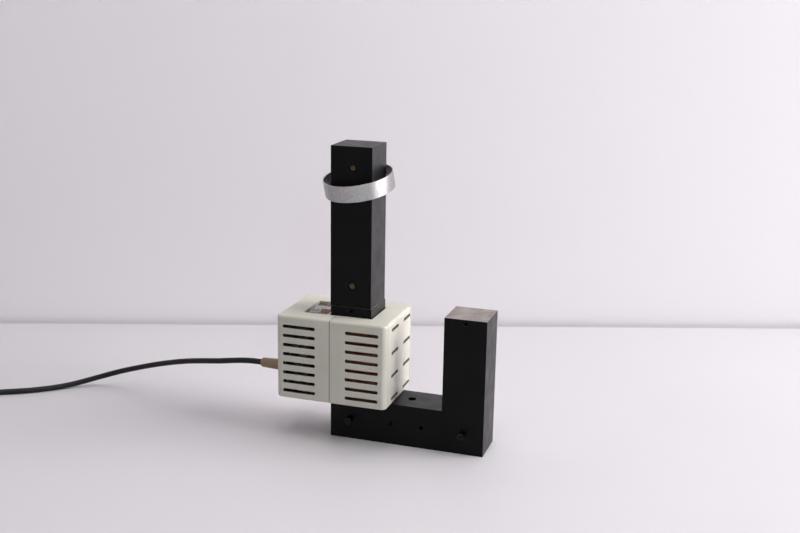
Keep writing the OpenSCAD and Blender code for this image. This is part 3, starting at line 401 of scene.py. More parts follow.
def finish_of(name, base, roughness, **inputs):
    """A material with its shader, and the tree for what varies on it."""
    material = bpy.data.materials.new(name)
    material.use_nodes = True
    tree = material.node_tree
    shader = tree.nodes["Principled BSDF"]
    shader.inputs["Base Color"].default_value = colour(base)
    shader.inputs["Roughness"].default_value = roughness
    for key, value in inputs.items():
        shader.inputs[key.replace("_", " ")].default_value = value
    material.diffuse_color = colour(base)
    return material, tree, shader


def object_point(tree, stretch=(1, 1, 1)):
    """Object coordinates, stretched for a pattern."""
    where = add(tree, "ShaderNodeTexCoord")
    mapping = add(tree, "ShaderNodeMapping", inputs={"Scale": stretch}, Vector=where.outputs["Object"])
    return mapping.outputs["Vector"]


def grain(tree, shader, size_mm, depth_mm, stretch=(1, 1, 1)):
    """A fine random relief, with grains of the given size."""
    point = object_point(tree, stretch)
    noise = add(tree, "ShaderNodeTexNoise", inputs={"Scale": 1000 / size_mm, "Detail": 3.0}, Vector=point)
    relief = {"Strength": 1.0, "Distance": depth_mm * MM}
    bump = add(tree, "ShaderNodeBump", inputs=relief, Height=noise.outputs["Fac"])
    tree.links.new(bump.outputs["Normal"], shader.inputs["Normal"])


def mottle(tree, shader, first, second, size_mm, detail=4.0):
    """A slow drift between two colours, in patches of the given size."""
    point = object_point(tree)
    noise = add(tree, "ShaderNodeTexNoise", inputs={"Scale": 1000 / size_mm, "Detail": detail}, Vector=point)
    ramp = add(tree, "ShaderNodeValToRGB", Fac=noise.outputs["Fac"])
    # The noise seldom leaves its middle levels, so the drift lies between two of those
    for stop, level, code in zip(ramp.color_ramp.elements, (0.35, 0.65), (first, second)):
        stop.position = level
        stop.color = colour(code)
    tree.links.new(ramp.outputs["Color"], shader.inputs["Base Color"])


def uneven(tree, shader, low, high, size_mm):
    """Roughness that drifts between two values, as on a handled surface."""
    point = object_point(tree)
    noise = add(tree, "ShaderNodeTexNoise", inputs={"Scale": 1000 / size_mm, "Detail": 5.0}, Vector=point)
    spread = add(
        tree, "ShaderNodeMapRange",
        inputs={"From Min": 0.3, "From Max": 0.7, "To Min": low, "To Max": high}, Value=noise.outputs["Fac"],
    )
    tree.links.new(spread.outputs["Result"], shader.inputs["Roughness"])


def lacquered_sheet():
    """Face of the outermost sheet: black lacquer over rolled iron, nearly matt, with faint roller marks."""
    material, tree, shader = finish_of("lacquered_sheet", "#0a0a0c", 0.5, IOR=1.5, Specular_IOR_Level=0.12)
    mottle(tree, shader, "#08080a", "#0d0d0f", 25)
    uneven(tree, shader, 0.44, 0.56, 30)
    # Roller marks of a few hundredths of a millimetre are drawn 1.5 mm wide, along the limbs
    grain(tree, shader, 1.5, 0.004, stretch=(1, 1, 0.06))
    return material


def varnished_iron():
    """Varnished edges of the core's sheets: matt black, with the sheets just showing as fine lines."""
    material, tree, shader = finish_of(
        "varnished_laminations", "#121214", 0.42, IOR=1.5, Specular_IOR_Level=0.39
    )
    mottle(tree, shader, "#0f0f11", "#171618", 18)
    uneven(tree, shader, 0.36, 0.5, 14)
    # Sheets of 0.5 mm are too fine for the view, so the lines are drawn 1.6 mm apart
    line_step_mm = 1.6
    where = add(tree, "ShaderNodeTexCoord")
    split = add(tree, "ShaderNodeSeparateXYZ", Vector=where.outputs["Object"])
    half_steps = {1: 2000 / line_step_mm}
    sheets = add(tree, "ShaderNodeMath", {"operation": "MULTIPLY"}, half_steps, Value=split.outputs["Y"])
    lines = add(tree, "ShaderNodeMath", {"operation": "PINGPONG"}, {1: 1.0}, Value=sheets.outputs["Value"])
    step = add(
        tree, "ShaderNodeMapRange", inputs={"From Min": 0.0, "From Max": 0.35}, Value=lines.outputs["Value"]
    )
    bump = add(
        tree, "ShaderNodeBump", inputs={"Strength": 0.5, "Distance": 0.05 * MM}, Height=step.outputs["Result"]
    )
    tree.links.new(bump.outputs["Normal"], shader.inputs["Normal"])
    return material


def joint_shade_lacquer():
    """Painted shade along the loose joint: black lacquer with no gloss, so that no line of light lies across
    the front.
    """
    material, tree, shader = finish_of("lacquer_joint_painted_shade", "#0a0a0c", 0.8, Specular_IOR_Level=0.05)
    mottle(tree, shader, "#08080a", "#0d0d0f", 5)
    return material


def worn_iron():
    """The same varnish on the edges, rubbed thin by handling."""
    material, tree, shader = finish_of("varnish_worn_thin", "#131315", 0.45, IOR=1.5, Specular_IOR_Level=0.35)
    mottle(tree, shader, "#0d0d0f", "#201f22", 5)
    return material


def ground_iron():
    """Ground pole face: bare lamination edges, dull grey-brown with a film of old oil."""
    material, tree, shader = finish_of("ground_pole_face", "#9a918d", 0.5, Metallic=0.5)
    mottle(tree, shader, "#8b827e", "#a89f9a", 9)
    # Grinding marks of 0.1 mm are drawn 1.2 mm wide, along the core
    grain(tree, shader, 1.2, 0.02, stretch=(0.1, 1, 1))
    return material


def moulded_abs(name, base, second):
    """Moulded ABS: cream, satin, with the fine spark texture of its tool."""
    material, tree, shader = finish_of(name, base, 0.42, IOR=1.53, Specular_IOR_Level=0.35)
    mottle(tree, shader, base, second, 40)
    uneven(tree, shader, 0.36, 0.5, 25)
    # Spark texture of 0.15 mm is too fine for the view, so its grains are drawn 0.6 mm wide
    grain(tree, shader, 0.6, 0.012)
    return material


def shaded_abs(name, base, first, second):
    """The same ABS as painted shade in the vents and inside: dark and quite matt."""
    material, tree, shader = finish_of(name, base, 0.8, IOR=1.5)
    mottle(tree, shader, first, second, 4)
    # A fine grain, drawn 1 mm wide
    grain(tree, shader, 1.0, 0.02)
    return material


def turned_aluminium():
    """Turned aluminium ring: satin, with fine lines round it that draw a highlight out over its height."""
    material, tree, shader = finish_of("turned_aluminium", "#bab8b9", 0.46, Metallic=1.0, Anisotropic=0.85)
    mottle(tree, shader, "#b3b1b3", "#c1bfc0", 2, detail=2.0)
    # The finish scatters light across its turning lines, so its tangent is turned to lie along the axis
    tangent = add(tree, "ShaderNodeTangent", {"direction_type": "RADIAL", "axis": "Z"})
    turned_on = add(tree, "ShaderNodeVectorMath", {"operation": "CROSS_PRODUCT"})
    facing = add(tree, "ShaderNodeNewGeometry")
    tree.links.new(tangent.outputs["Tangent"], turned_on.inputs[0])
    tree.links.new(facing.outputs["Normal"], turned_on.inputs[1])
    tree.links.new(turned_on.outputs["Vector"], shader.inputs["Tangent"])
    # Turning lines of 0.1 mm are too fine for the view, so they are drawn 0.7 mm wide
    grain(tree, shader, 0.7, 0.001, stretch=(0.05, 0.05, 1.0))
    return material


def bored_aluminium_painted_shade():
    """Inside of the ring, as the boring tool left it: duller than the outside, and darker than it as painted
    shade.
    """
    material, tree, shader = finish_of("bored_aluminium_painted_shade", "#8d888c", 0.5, Metallic=1.0)
    mottle(tree, shader, "#827d82", "#989397", 3)
    # Boring marks of 0.2 mm are drawn 0.7 mm wide too
    grain(tree, shader, 0.7, 0.003, stretch=(0.1, 0.1, 1.0))
    return material


def plain_metal(name, base, roughness, second):
    """Small metal fittings: rolled or turned, with a faint patchiness from handling."""
    material, tree, shader = finish_of(name, base, roughness, Metallic=1.0)
    mottle(tree, shader, base, second, 3)
    grain(tree, shader, 0.3, 0.004)
    return material


def plain_plastic(name, base, roughness, second, grain_mm=0.4):
    """Moulded plastic parts: one colour with a slight drift and a fine skin."""
    material, tree, shader = finish_of(name, base, roughness, IOR=1.5)
    mottle(tree, shader, base, second, 12)
    grain(tree, shader, grain_mm, 0.008)
    return material


def cable_pvc():
    """Cable PVC: black and slightly glossy, with the faint grain that extrusion leaves on its skin."""
    material, tree, shader = finish_of("cable_pvc", "#141417", 0.5, IOR=1.5, Specular_IOR_Level=0.3)
    mottle(tree, shader, "#101012", "#1a1a1d", 30)
    grain(tree, shader, 0.8, 0.01)
    return material


def red_acrylic_painted_light():
    """Red acrylic, coloured pale pink as painted light for the light that shines through it: it lets a little
    light through and has a soft gloss.
    """
    material, tree, shader = finish_of(
        "signal_red_acrylic", "#eec4c2", 0.3, IOR=1.49, Transmission_Weight=0.1
    )
    mottle(tree, shader, "#e4b6b4", "#f2cdca", 3)
    return material


def enamelled_copper_painted_light():
    """Enamelled copper wire under a clear coat, deep between its turns, its orange-red painted brighter as
    painted light for the little light that reaches it in the case.
    """
    material, tree, shader = finish_of(
        "enamelled_copper_painted_light", "#f47a48", 0.35, Coat_Weight=0.6, Coat_Roughness=0.2
    )
    mottle(tree, shader, "#dd6336", "#ff9a68", 6)
    grain(tree, shader, 0.5, 0.01)
    return material


def clear_glass():
    """Neon bulb: thin glass with a warm tint."""
    material, tree, shader = finish_of("neon_glass", "#f0a070", 0.08, IOR=1.47, Transmission_Weight=0.8)
    mottle(tree, shader, "#e89868", "#f8b890", 2)
    return material


IRON_SHEET = lacquered_sheet()
JOINT_SHADE = joint_shade_lacquer()
IRON_BLACK = varnished_iron()
IRON_WORN = worn_iron()
POLE_FACE = ground_iron()
CASE_CREAM = moulded_abs("cream_abs", "#dfdbd0", "#d8d4c7")
# Painted shade: dark inside the case, and lighter in the side slots
ABS_PAINTED_SHADE = shaded_abs("abs_inside_painted_shade", "#524f47", "#454239", "#5e5b51")
VENT_PAINTED_SHADE = shaded_abs("abs_vent_edge_painted_shade", "#8d8a7f", "#7f7c71", "#9b988c")
PANEL_CREAM = moulded_abs("light_cream_abs", "#e4e0d5", "#ded9cd")
ALUMINIUM = turned_aluminium()
RING_BORE_SHADE = bored_aluminium_painted_shade()
DARK_STEEL = plain_metal("blackened_steel", "#29292b", 0.28, "#202022")
OLD_BRASS = plain_metal("tarnished_brass", "#5a4d3b", 0.3, "#493d2e")
BRIGHT_BRASS = plain_metal("rolled_brass", "#c79c4e", 0.3, "#b98d42")
ZINC_STEEL = plain_metal("zinc_plated_steel", "#b8b9bb", 0.32, "#a9aaad")
NICKEL = plain_metal("nickel_plate", "#c9c5ba", 0.2, "#bdb9ae")
COPPER_PAINTED_LIGHT = enamelled_copper_painted_light()
FORMER_NYLON = plain_plastic("glass_filled_nylon", "#b7ae9c", 0.5, "#aca391")
LAMINATE = plain_plastic("phenolic_board", "#6a4a30", 0.45, "#5c3f28")
BLOCK_NYLON = plain_plastic("block_nylon", "#d8d4c8", 0.4, "#cfcbbf")
CUTOUT_PPS = plain_plastic("cutout_housing", "#26262a", 0.35, "#2e2e32")
TRAY_GREY = plain_plastic("tray_abs", "#a3a198", 0.5, "#95938a")
ROCKER_WHITE = plain_plastic("rocker_nylon", "#ebe8ea", 0.3, "#e1dee0")
ACRYLIC_PAINTED_LIGHT = red_acrylic_painted_light()
NEON = clear_glass()
RELIEF_BEIGE = plain_plastic("relief_rubber", "#a08c70", 0.55, "#937f64")
CABLE = cable_pvc()
PLUG_BLACK = plain_plastic("plug_pvc", "#1b1b1d", 0.45, "#232326", 0.7)
TIE_NYLON = plain_plastic("tie_nylon", "#1f1f21", 0.4, "#28282b")
BROWN_PVC = plain_plastic("brown_insulation", "#5e3320", 0.4, "#522b1a")
BLUE_PVC = plain_plastic("blue_insulation", "#2458a0", 0.4, "#1e4c8c")
WHITE_PVC = plain_plastic("white_insulation", "#e4e3df", 0.4, "#d9d8d4")


def earth_insulation():
    """Earth insulation: green PVC with a yellow stripe along it."""
    material, tree, shader = finish_of("green_yellow_insulation", "#3f8f2e", 0.4, IOR=1.5)
    where = add(tree, "ShaderNodeTexCoord")
    split = add(tree, "ShaderNodeSeparateXYZ", Vector=where.outputs["Normal"])
    ramp = add(tree, "ShaderNodeValToRGB", Fac=split.outputs["X"])
    ramp.color_ramp.interpolation = "CONSTANT"
    ramp.color_ramp.elements[0].color = colour("#3f8f2e")
    ramp.color_ramp.elements[1].position = 0.35
    ramp.color_ramp.elements[1].color = colour("#d8c52c")
    tree.links.new(ramp.outputs["Color"], shader.inputs["Base Color"])
    return material


EARTH_PVC = earth_insulation()


# Camera, at the photograph's place

CAMERA_AT = (347.86, -953.31, 425.07)
CAMERA_YAW = -17.865
CAMERA_PITCH = 14.377
CAMERA_ROLL = 0.978
LENS_MM = 50.326
SENSOR_MM = 36.0


def make_camera():
    """The camera that the photograph's own perspective gives, placed in millimetres and turned in degrees."""
    yaw, pitch, roll = (math.radians(a) for a in (CAMERA_YAW, CAMERA_PITCH, CAMERA_ROLL))
    ahead = Vector((math.sin(yaw) * math.cos(pitch), math.cos(yaw) * math.cos(pitch), -math.sin(pitch)))
    level = Vector((math.cos(yaw), -math.sin(yaw), 0))
    upright = level.cross(ahead)
    right = math.cos(roll) * level + math.sin(roll) * upright
    up = -math.sin(roll) * level + math.cos(roll) * upright
    data = bpy.data.cameras.new("camera")
    data.sensor_width = SENSOR_MM
    data.lens = LENS_MM
    data.clip_start = 0.01
    data.clip_end = 50.0
    camera = bpy.data.objects.new("camera", data)
    turn = Matrix((right, up, -ahead)).transposed()
    camera.matrix_world = Matrix.Translation(mm(*CAMERA_AT)) @ turn.to_4x4()
    bpy.context.scene.collection.objects.link(camera)
    bpy.context.scene.camera = camera


make_camera()


# Mains cord

# From the strain relief over the table to the put-away coil, as in the part's source
CORD_ROUTE = [
    (-101, 0, 57.6), (-110, 0, 57.6), (-122, 1, 56.4), (-135, 3, 54), (-150, 5, 51), (-167, 8, 48),
    (-184, 12, 44.5), (-201, 16, 40.4), (-217, 19, 36), (-232, 21.5, 31.6), (-247, 23, 27),
    (-261, 23.8, 22.6), (-275, 23.5, 18.2), (-288, 21.5, 13.9), (-300, 18, 10), (-311, 12.5, 6.8),
    (-321, 5.5, 4.4), (-330, -2.5, 3.2), (-339, -11, 2.8), (-348, -19, 2.8), (-358, -26.5, 2.8),
    (-370, -34, 2.9), (-384, -42.5, 3.1), (-398, -51, 3.4), (-412, -59.5, 3.7), (-420.5, -64.77, 3.8),
]
COIL_START = (-430, -70.7)
COIL_HEADING = 212
# The cord winds inwards for these turns and then outwards for as many, in a second layer
COIL_TURNS = 2.5
COIL_R = 41
# Step inwards with each turn, height of the second layer over the first, and height of the first one's axis
COIL_STEP = 6.2
COIL_RISE = 6.1
COIL_LIFT = 3.8
# Degrees over which the cord climbs to the second layer and rises to the plug, and from point to point
CLIMB_SPAN = 180
RISE_SPAN = 45
COIL_POINT_STEP = 7.5
COIL_TAIL = 12
PLUG_AXIS_Z = 14
COIL_SWEEP = 720 * COIL_TURNS + COIL_HEADING - 90
HEADING = Vector((math.cos(math.radians(COIL_HEADING)), math.sin(math.radians(COIL_HEADING)), 0))
SIDEWAYS = Vector((HEADING.y, -HEADING.x, 0))
COIL_MID = Vector((*COIL_START, 0)) + COIL_R * SIDEWAYS
PLUG_WAY = Vector((0, 1, 0))


def ease(t):
    """A smooth step from 0 to 1."""
    t = min(1, max(0, t))
    return t * t * (3 - 2 * t)


def coil_point(angle):
    """A point of the put-away coil, at an angle in degrees from where it starts."""
    radius = COIL_R - COIL_STEP * min(angle, COIL_SWEEP - angle) / 360
    climb = ease((angle - COIL_SWEEP / 2 + CLIMB_SPAN / 2) / CLIMB_SPAN)
    rise = ease((angle - COIL_SWEEP + RISE_SPAN) / RISE_SPAN)
    height = COIL_LIFT + COIL_RISE * climb + (PLUG_AXIS_Z - COIL_LIFT - COIL_RISE) * rise
    at = math.radians(COIL_HEADING + 90 - angle)
    return Vector((COIL_MID.x + radius * math.cos(at), COIL_MID.y + radius * math.sin(at), height))


def cord_route():
    """The cord's points in millimetres: over the table, round its coil, and up to the plug."""
    start = Vector((*COIL_START, COIL_LIFT))
    points = [Vector(point) for point in CORD_ROUTE] + [start - CORD_D * HEADING]
    count = round(COIL_SWEEP / COIL_POINT_STEP)
    points += [coil_point(COIL_SWEEP * i / count) for i in range(count + 1)]
    end = points[-1]
    points += [end + share * COIL_TAIL * PLUG_WAY for share in (0.5, 1)]
    return points


def softened(points, parts):
    """A smooth curve through the points, cut into parts between each pair."""
    out = []
    count = len(points)
    for i in range(count - 1):
        a, b = points[max(i - 1, 0)], points[i]
        c, d = points[i + 1], points[min(i + 2, count - 1)]
        for k in range(parts):
            t = k / parts
            out.append(
                0.5 * (2 * b + (c - a) * t + (2 * a - 5 * b + 4 * c - d) * t * t
                       + (3 * b - a - 3 * c + d) * t * t * t)
            )
    return out + [points[-1]]


def tube(name, path, diameter, sides, material):
    """A tube along a path in millimetres that starts level, turned as little as the path lets it."""
    count = len(path)
    headings = [(path[min(i + 1, count - 1)] - path[max(i - 1, 0)]).normalized() for i in range(count)]
    side = headings[0].cross(Vector((0, 0, 1))).normalized()
    points = []
    for point, ahead in zip(path, headings):
        side = (side - side.dot(ahead) * ahead).normalized()
        up = ahead.cross(side)
        for k in range(sides):
            angle = 2 * math.pi * k / sides
            points.append(point + diameter / 2 * (math.cos(angle) * side + math.sin(angle) * up))
    faces = []
    for i in range(count - 1):
        for k in range(sides):
            a, b = i * sides + k, i * sides + (k + 1) % sides
            faces.append((a, b, b + sides, a + sides))
    faces.append(tuple(range(sides))[::-1])
    faces.append(tuple((count - 1) * sides + k for k in range(sides)))
    return smooth(outward(mesh_piece(name, points, faces, material)), 50)


def make_cord():
    """Black mains cord, from the strain relief to the plug's boot."""
    path = softened(cord_route(), parts=2)
    cord = tube("flex", path, CORD_D, sides=16, material=CABLE)
    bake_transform(cord)
    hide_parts("mains_cord", "cord_coil")
    plug_names = ("mains_plug", "plug_sleeve", "round_pins", "cord_binder")
    plug_parts = [bpy.data.objects[name] for name in plug_names]
    plug_parts.append(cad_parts["earth_strips"])


# Iron

def softened_node(node, name, width, materials):
    """A piece from a node's mesh with its edges softened, in the last of its materials where they are two."""
    bm = bmesh.new()
    bm.from_mesh(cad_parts[node].data)
    bmesh.ops.remove_doubles(bm, verts=bm.verts, dist=1e-6)
    bmesh.ops.dissolve_limit(bm, angle_limit=math.radians(1), verts=bm.verts, edges=bm.edges)
    piece = bm_piece(name, bm, materials)
    soften_edges(piece, width, 40, 1 if len(materials) > 1 else -1)
    baked(piece)
    return evened(piece)


def paint_faces(piece, material, test):
    """Gives a material to the faces that pass the test, by centre in millimetres and normal."""
    piece.data.materials.append(material)
    index = len(piece.data.materials) - 1
    for face in piece.data.polygons:
        if test(face.center / MM, face.normal):
            face.material_index = index


def on_sheet(_centre, normal):
    """The front and the rear are the broad faces of the outermost sheets."""
    return abs(normal.y) > 0.4


def on_pole(centre, normal):
    """The ground tops of the limbs."""
    return normal.z > 0.99 and centre.z > CORE_TOP - 0.1


def on_shaded_joint(centre, normal):
    """The edges on both sides of the joint between the left limb and the yoke, at the front and the rear."""
    return centre.x < IRON and abs(centre.z - CORE_TOP) < 0.4 and abs(normal.y) > 0.2


def make_iron():
    """U-core and yoke, with softened worn edges and bare pole faces."""
    core = softened_node("u_core", "core_laminations", 0.3, [IRON_BLACK, IRON_WORN])
    paint_faces(core, IRON_SHEET, on_sheet)
    paint_faces(core, POLE_FACE, on_pole)
    # The edges at the joint get painted shade, a matt black that takes no highlight
    paint_faces(core, JOINT_SHADE, on_shaded_joint)
    placed(core, "core", "iron", "u_core")
    yoke = softened_node("yoke", "yoke_laminations", 0.25, [IRON_BLACK, IRON_WORN])
    paint_faces(yoke, IRON_SHEET, on_sheet)
    # The same painted shade on the yoke's edges at the joint
    paint_faces(yoke, JOINT_SHADE, on_shaded_joint)
    placed(yoke, "yoke", "iron", "yoke")


make_iron()


# Ring

# Degrees by which the floating ring dips to the front and to the left
DIP_FRONT = 11
DIP_LEFT = 6.2
RING_RIM_R = 0.35


def make_ring():
    """Thin aluminium ring with softened rims, floating tilted. Its sizes are measured on the solid."""
    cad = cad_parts["ring"].data
    middle = Vector((RING_LOW + RING_HIGH) / 2)
    points = np.array([v.co for v in cad.vertices]) / MM - np.array(middle)
    dip_front, dip_left = math.radians(DIP_FRONT), math.radians(DIP_LEFT)
    turn = Matrix.Rotation(-dip_left, 3, "Y") @ Matrix.Rotation(dip_front, 3, "X")
    axis = turn @ Vector((0, 0, 1))
    along = points @ np.array(axis)
    half = float(along.max() - along.min()) / 2
    radii = np.linalg.norm(points - np.outer(along, np.array(axis)), axis=1)
    outer, inner = float(radii.max()), float(radii.min())
    r = RING_RIM_R
    corners = [(outer - r, half - r), (inner + r, half - r), (inner + r, r - half), (outer - r, r - half)]
    profile = []
    for quarter, corner in enumerate(corners):
        profile += arc(corner, r, 90 * quarter, 90 * quarter + 90, steps=4)
    ring = turned("floating_ring", profile, middle, axis, sides=160, material=ALUMINIUM)
    smooth(ring, 40)

    def in_bore(centre, normal):
        """Faces that look at the ring's axis."""
        from_axis = centre - middle
        from_axis -= from_axis.dot(axis) * axis
        return normal.dot(from_axis) < -0.5 * from_axis.length

    # The bore is painted darker, as painted shade
    paint_faces(ring, RING_BORE_SHADE, in_bore)
    placed(ring, "ring", "ring_aluminium", "ring")


make_ring()


# Coil case

# Half the depth of the cutters that take away a whole side of the case, and the height up to which they reach
SIDE_CUT = 100
TOP_CUT = 200


def case_solid(name):
    """Outer form of the case: round upright corners and softly rounded rims."""
    bm = box_mesh(CASE_LOW, Vector((CASE_RIGHT, CASE_HIGH.y, CASE_HIGH.z)))
    upright = [e for e in bm.edges if abs(e.verts[0].co.z - e.verts[1].co.z) > 0.01]
    bmesh.ops.bevel(bm, geom=upright, offset=CORNER_R * MM, segments=8, profile=0.5, affect="EDGES")
    rims = [e for e in bm.edges if abs(e.verts[0].co.z - e.verts[1].co.z) < 1e-6 and len(e.link_faces) == 2
            and any(abs(f.normal.z) > 0.9 for f in e.link_faces)]
    bmesh.ops.bevel(bm, geom=rims, offset=RIM_R * MM, segments=6, profile=0.5, affect="EDGES")
    return bm_piece(name, bm)


def column_of_slots(slot, rows, pitch):
    """A slot repeated upwards, with the middle of its rows at the middle of the banks."""
    low = SLOT_MID_Z - (rows - 1) / 2 * pitch
    return row("column", slot, rows, (0, 0, low), (0, 0, pitch))


def slot_cutters(mid_x):
    """Cutters for one bank of slots, through the front and the rear wall."""
    outside = 2
    reach = outside + WALL + 1
    outline = rounded_outline(mid_x, 0, SLOT_LEN, SLOT_H, SLOT_R, steps=4)
    banks = []
    for y in (CASE_LOW.y - outside, CASE_HIGH.y + outside - reach):
        slot = slab("slot", outline, y, y + reach, "Y")
        banks.append(column_of_slots(slot, SLOT_ROWS, SLOT_PITCH))
    return joined("cutters", banks)


def hollow_cutters():
    """The case's inside, and the way through it for the limb."""
    inside = box_cutter(
        (CASE_LOW.x + WALL, CASE_LOW.y + WALL, CASE_LOW.z + WALL),
        (CASE_RIGHT - WALL, CASE_HIGH.y - WALL, CASE_HIGH.z - WALL),
    )
    side = IRON + 2 * CORE_CLEAR
    outline = rounded_outline(0, 0, side, side, WAY_R, steps=3)
    way = slab("cutter", outline, CASE_LOW.z - 5, CASE_HIGH.z + 5, "Z")
    return [inside, way]


def deep(value, low, high):
    """How far a value lies inside the nearer of two limits."""
    return min(value - low, high - value)


def under_skin(depth):
    """Whether a depth in a wall belongs to a slot's side, and not to the slot's rounded edge."""
    return 0.3 < depth < WALL


def in_case_shade(centre, normal):
    """Faces that get painted shade: the case's hollow, the slots in the front and the rear, and beside the
    panel.
    """
    from_side = deep(centre.x, CASE_LOW.x, CASE_RIGHT)
    from_front = deep(centre.y, CASE_LOW.y, CASE_HIGH.y)
    from_top = deep(centre.z, CASE_LOW.z, CASE_HIGH.z)
    if min(from_side, from_front, from_top) > WALL - 0.2:
        return max(abs(centre.x), abs(centre.y)) > IRON / 2 + 3
    at_bank = min(abs(centre.x - LEFT_BANK_X), abs(centre.x - RIGHT_BANK_X)) < SLOT_LEN / 2 + 1
    in_slot = under_skin(from_front) and abs(normal.y) < 0.5 and at_bank and from_top > 4
    by_panel = 0 <= abs(centre.y) - PANEL_HIGH.y < 1 and abs(normal.y) > 0.9
    return in_slot or (by_panel and under_skin(CASE_RIGHT - centre.x))


def in_side_slot_shade(centre, normal):
    """Walls of the slots in the side panel, which get a lighter painted shade."""
    across = 0.3 < CASE_RIGHT - centre.x < WALL - 0.2 and abs(normal.x) < 0.5
    return across and abs(centre.y) < 32 and abs(centre.z - SLOT_MID_Z) < 37


def finish_case(piece, cutters, material):
    """Takes the cutters out of a part of the case, gives it its finish outside, and paints shade inside."""
    carved(piece, cutters)
    piece.data.materials.append(material)
    evened(piece)
    # Painted shade inside the case, in the slots and beside the panel
    paint_faces(piece, ABS_PAINTED_SHADE, in_case_shade)


def make_left_shell():
    """Left half of the case, with its vents, window and cord entry."""
    shell = case_solid("case_left_half")
    right_side = box_cutter((SEAM_LEFT - 0.1, -SIDE_CUT, 0), (CASE_RIGHT + 10, SIDE_CUT, TOP_CUT))
    # The tray's rim lies this far under the edge of the window
    rim = 0.9
    window = box_cutter(
        (TRAY_LOW.x + rim, TRAY_LOW.y + rim, CASE_HIGH.z - WALL - 1),
        (TRAY_HIGH.x - rim, TRAY_HIGH.y - rim, CASE_HIGH.z + 3),
    )
    entry_r = 6.1
    entry = turned(
        "cutter", [(0, -20), (entry_r, -20), (entry_r, 6), (0, 6)],
        (CASE_LOW.x + 2, 0, CORD_AXIS_Z), (1, 0, 0), sides=48,
    )
    cutters = hollow_cutters() + [right_side, slot_cutters(LEFT_BANK_X), window, entry]
    finish_case(shell, cutters, CASE_CREAM)
    placed(shell, "coil", "case_plastic", "left_shell")


def make_right_shell():
    """Right half of the case, with its vents and the frame round the side panel."""
    shell = case_solid("case_right_half")
    left_side = box_cutter((CASE_LOW.x - 10, -SIDE_CUT, 0), (SEAM_RIGHT + 0.1, SIDE_CUT, TOP_CUT))
    behind, beside = 0.2, 0.6
    mouth = box_cutter(
        (PANEL_LOW.x - behind, PANEL_LOW.y - beside, CASE_LOW.z - 5),
        (CASE_RIGHT + 5, PANEL_HIGH.y + beside, CASE_HIGH.z + 5),
    )
    finish_case(shell, hollow_cutters() + [left_side, slot_cutters(RIGHT_BANK_X), mouth], CASE_CREAM)
    placed(shell, "coil", "case_plastic", "right_shell")


def make_side_panel():
    """Panel let into the right face, with two columns of vents."""
    panel = case_solid("case_side_panel")
    left_side = box_cutter((CASE_LOW.x - 10, -SIDE_CUT, 0), (PANEL_LOW.x, SIDE_CUT, TOP_CUT))
    front = box_cutter((CASE_LOW.x - 20, -SIDE_CUT, -10), (CASE_RIGHT + 20, PANEL_LOW.y, TOP_CUT + 20))
    rear = box_cutter((CASE_LOW.x - 20, PANEL_HIGH.y, -10), (CASE_RIGHT + 20, SIDE_CUT, TOP_CUT + 20))
    columns = []
    for y in (SIDE_FRONT_Y, SIDE_REAR_Y):
        outline = rounded_outline(y, 0, SIDE_LEN, SLOT_H, SLOT_R, steps=4)
        slot = slab("slot", outline, PANEL_LOW.x - 1, CASE_RIGHT + 2, "X")
        columns.append(column_of_slots(slot, SIDE_ROWS, SIDE_PITCH))
    finish_case(panel, [left_side, front, rear, joined("cutters", columns)], PANEL_CREAM)
    # Lighter painted shade on the walls of the side slots
    paint_faces(panel, VENT_PAINTED_SHADE, in_side_slot_shade)
    placed(panel, "coil", "panel_plastic", "side_panel")


make_left_shell()
make_right_shell()
make_side_panel()


# Winding

WIRE_D = 2.2
WIRE_CORNER_R = 10.4
WIRE_TURNS = 23.5
CORNER_STEPS = 8


def winding_path():
    """Centre of the outer layer's wire: in from the left, round the former turn on turn, and out again."""
    half = WIRE_HIGH.y - WIRE_D / 2
    low, high = WIRE_LOW.z + WIRE_D / 2, WIRE_HIGH.z - WIRE_D / 2
    lead_x = WIRE_LOW.x
    straight = half - WIRE_CORNER_R
    loop = []
    for quarter, (sx, sy) in enumerate(((1, -1), (1, 1), (-1, 1), (-1, -1))):
        for k in range(CORNER_STEPS + 1):
            angle = math.radians(-90 + 90 * quarter + 90 * k / CORNER_STEPS)
            x = sx * straight + WIRE_CORNER_R * math.cos(angle)
            y = sy * straight + WIRE_CORNER_R * math.sin(angle)
            loop.append((x, y))
    count = len(loop)
    # The wire comes in along the front and leaves along the rear, half a turn further on
    last = int(WIRE_TURNS) * count + count // 2 + 1
    path = [(lead_x, -half, low), (lead_x + WIRE_D, -half, low), (-straight, -half, low)]
    for i in range(last):
        x, y = loop[i % count]
        path.append((x, y, low + (high - low) * (i + 1) / (last + 1)))
    path += [(-straight, half, high), (lead_x + WIRE_D, half, high), (lead_x, half, high)]
    return path


def make_winding():
    """The outer layer of the coil, wound turn on turn round the inner layers."""
    # The copper's bright colour is painted light
    winding = wire("wound_layer", winding_path(), WIRE_D, sides=12, material=COPPER_PAINTED_LIGHT)
    placed(winding, "coil", "winding_copper", "outer_layer")


make_winding()


# Small parts

# Diameter of the rivet heads in the solid, and the sizes of their domes and shanks here
SOLID_HEAD_D = 5.5
HEAD_R = 3.1
HEAD_H = 1.2
SHANK_R = 2.0

# Strain relief: radius and length of its rounded tip, radii near and at the case, and its softened edges
TIP_R = 4.65
TIP_LEN = 1.9
NECK_R = 5.9
ROOT_R = 5.95
RELIEF_EDGE = 0.2
RELIEF_FIT = 0.15


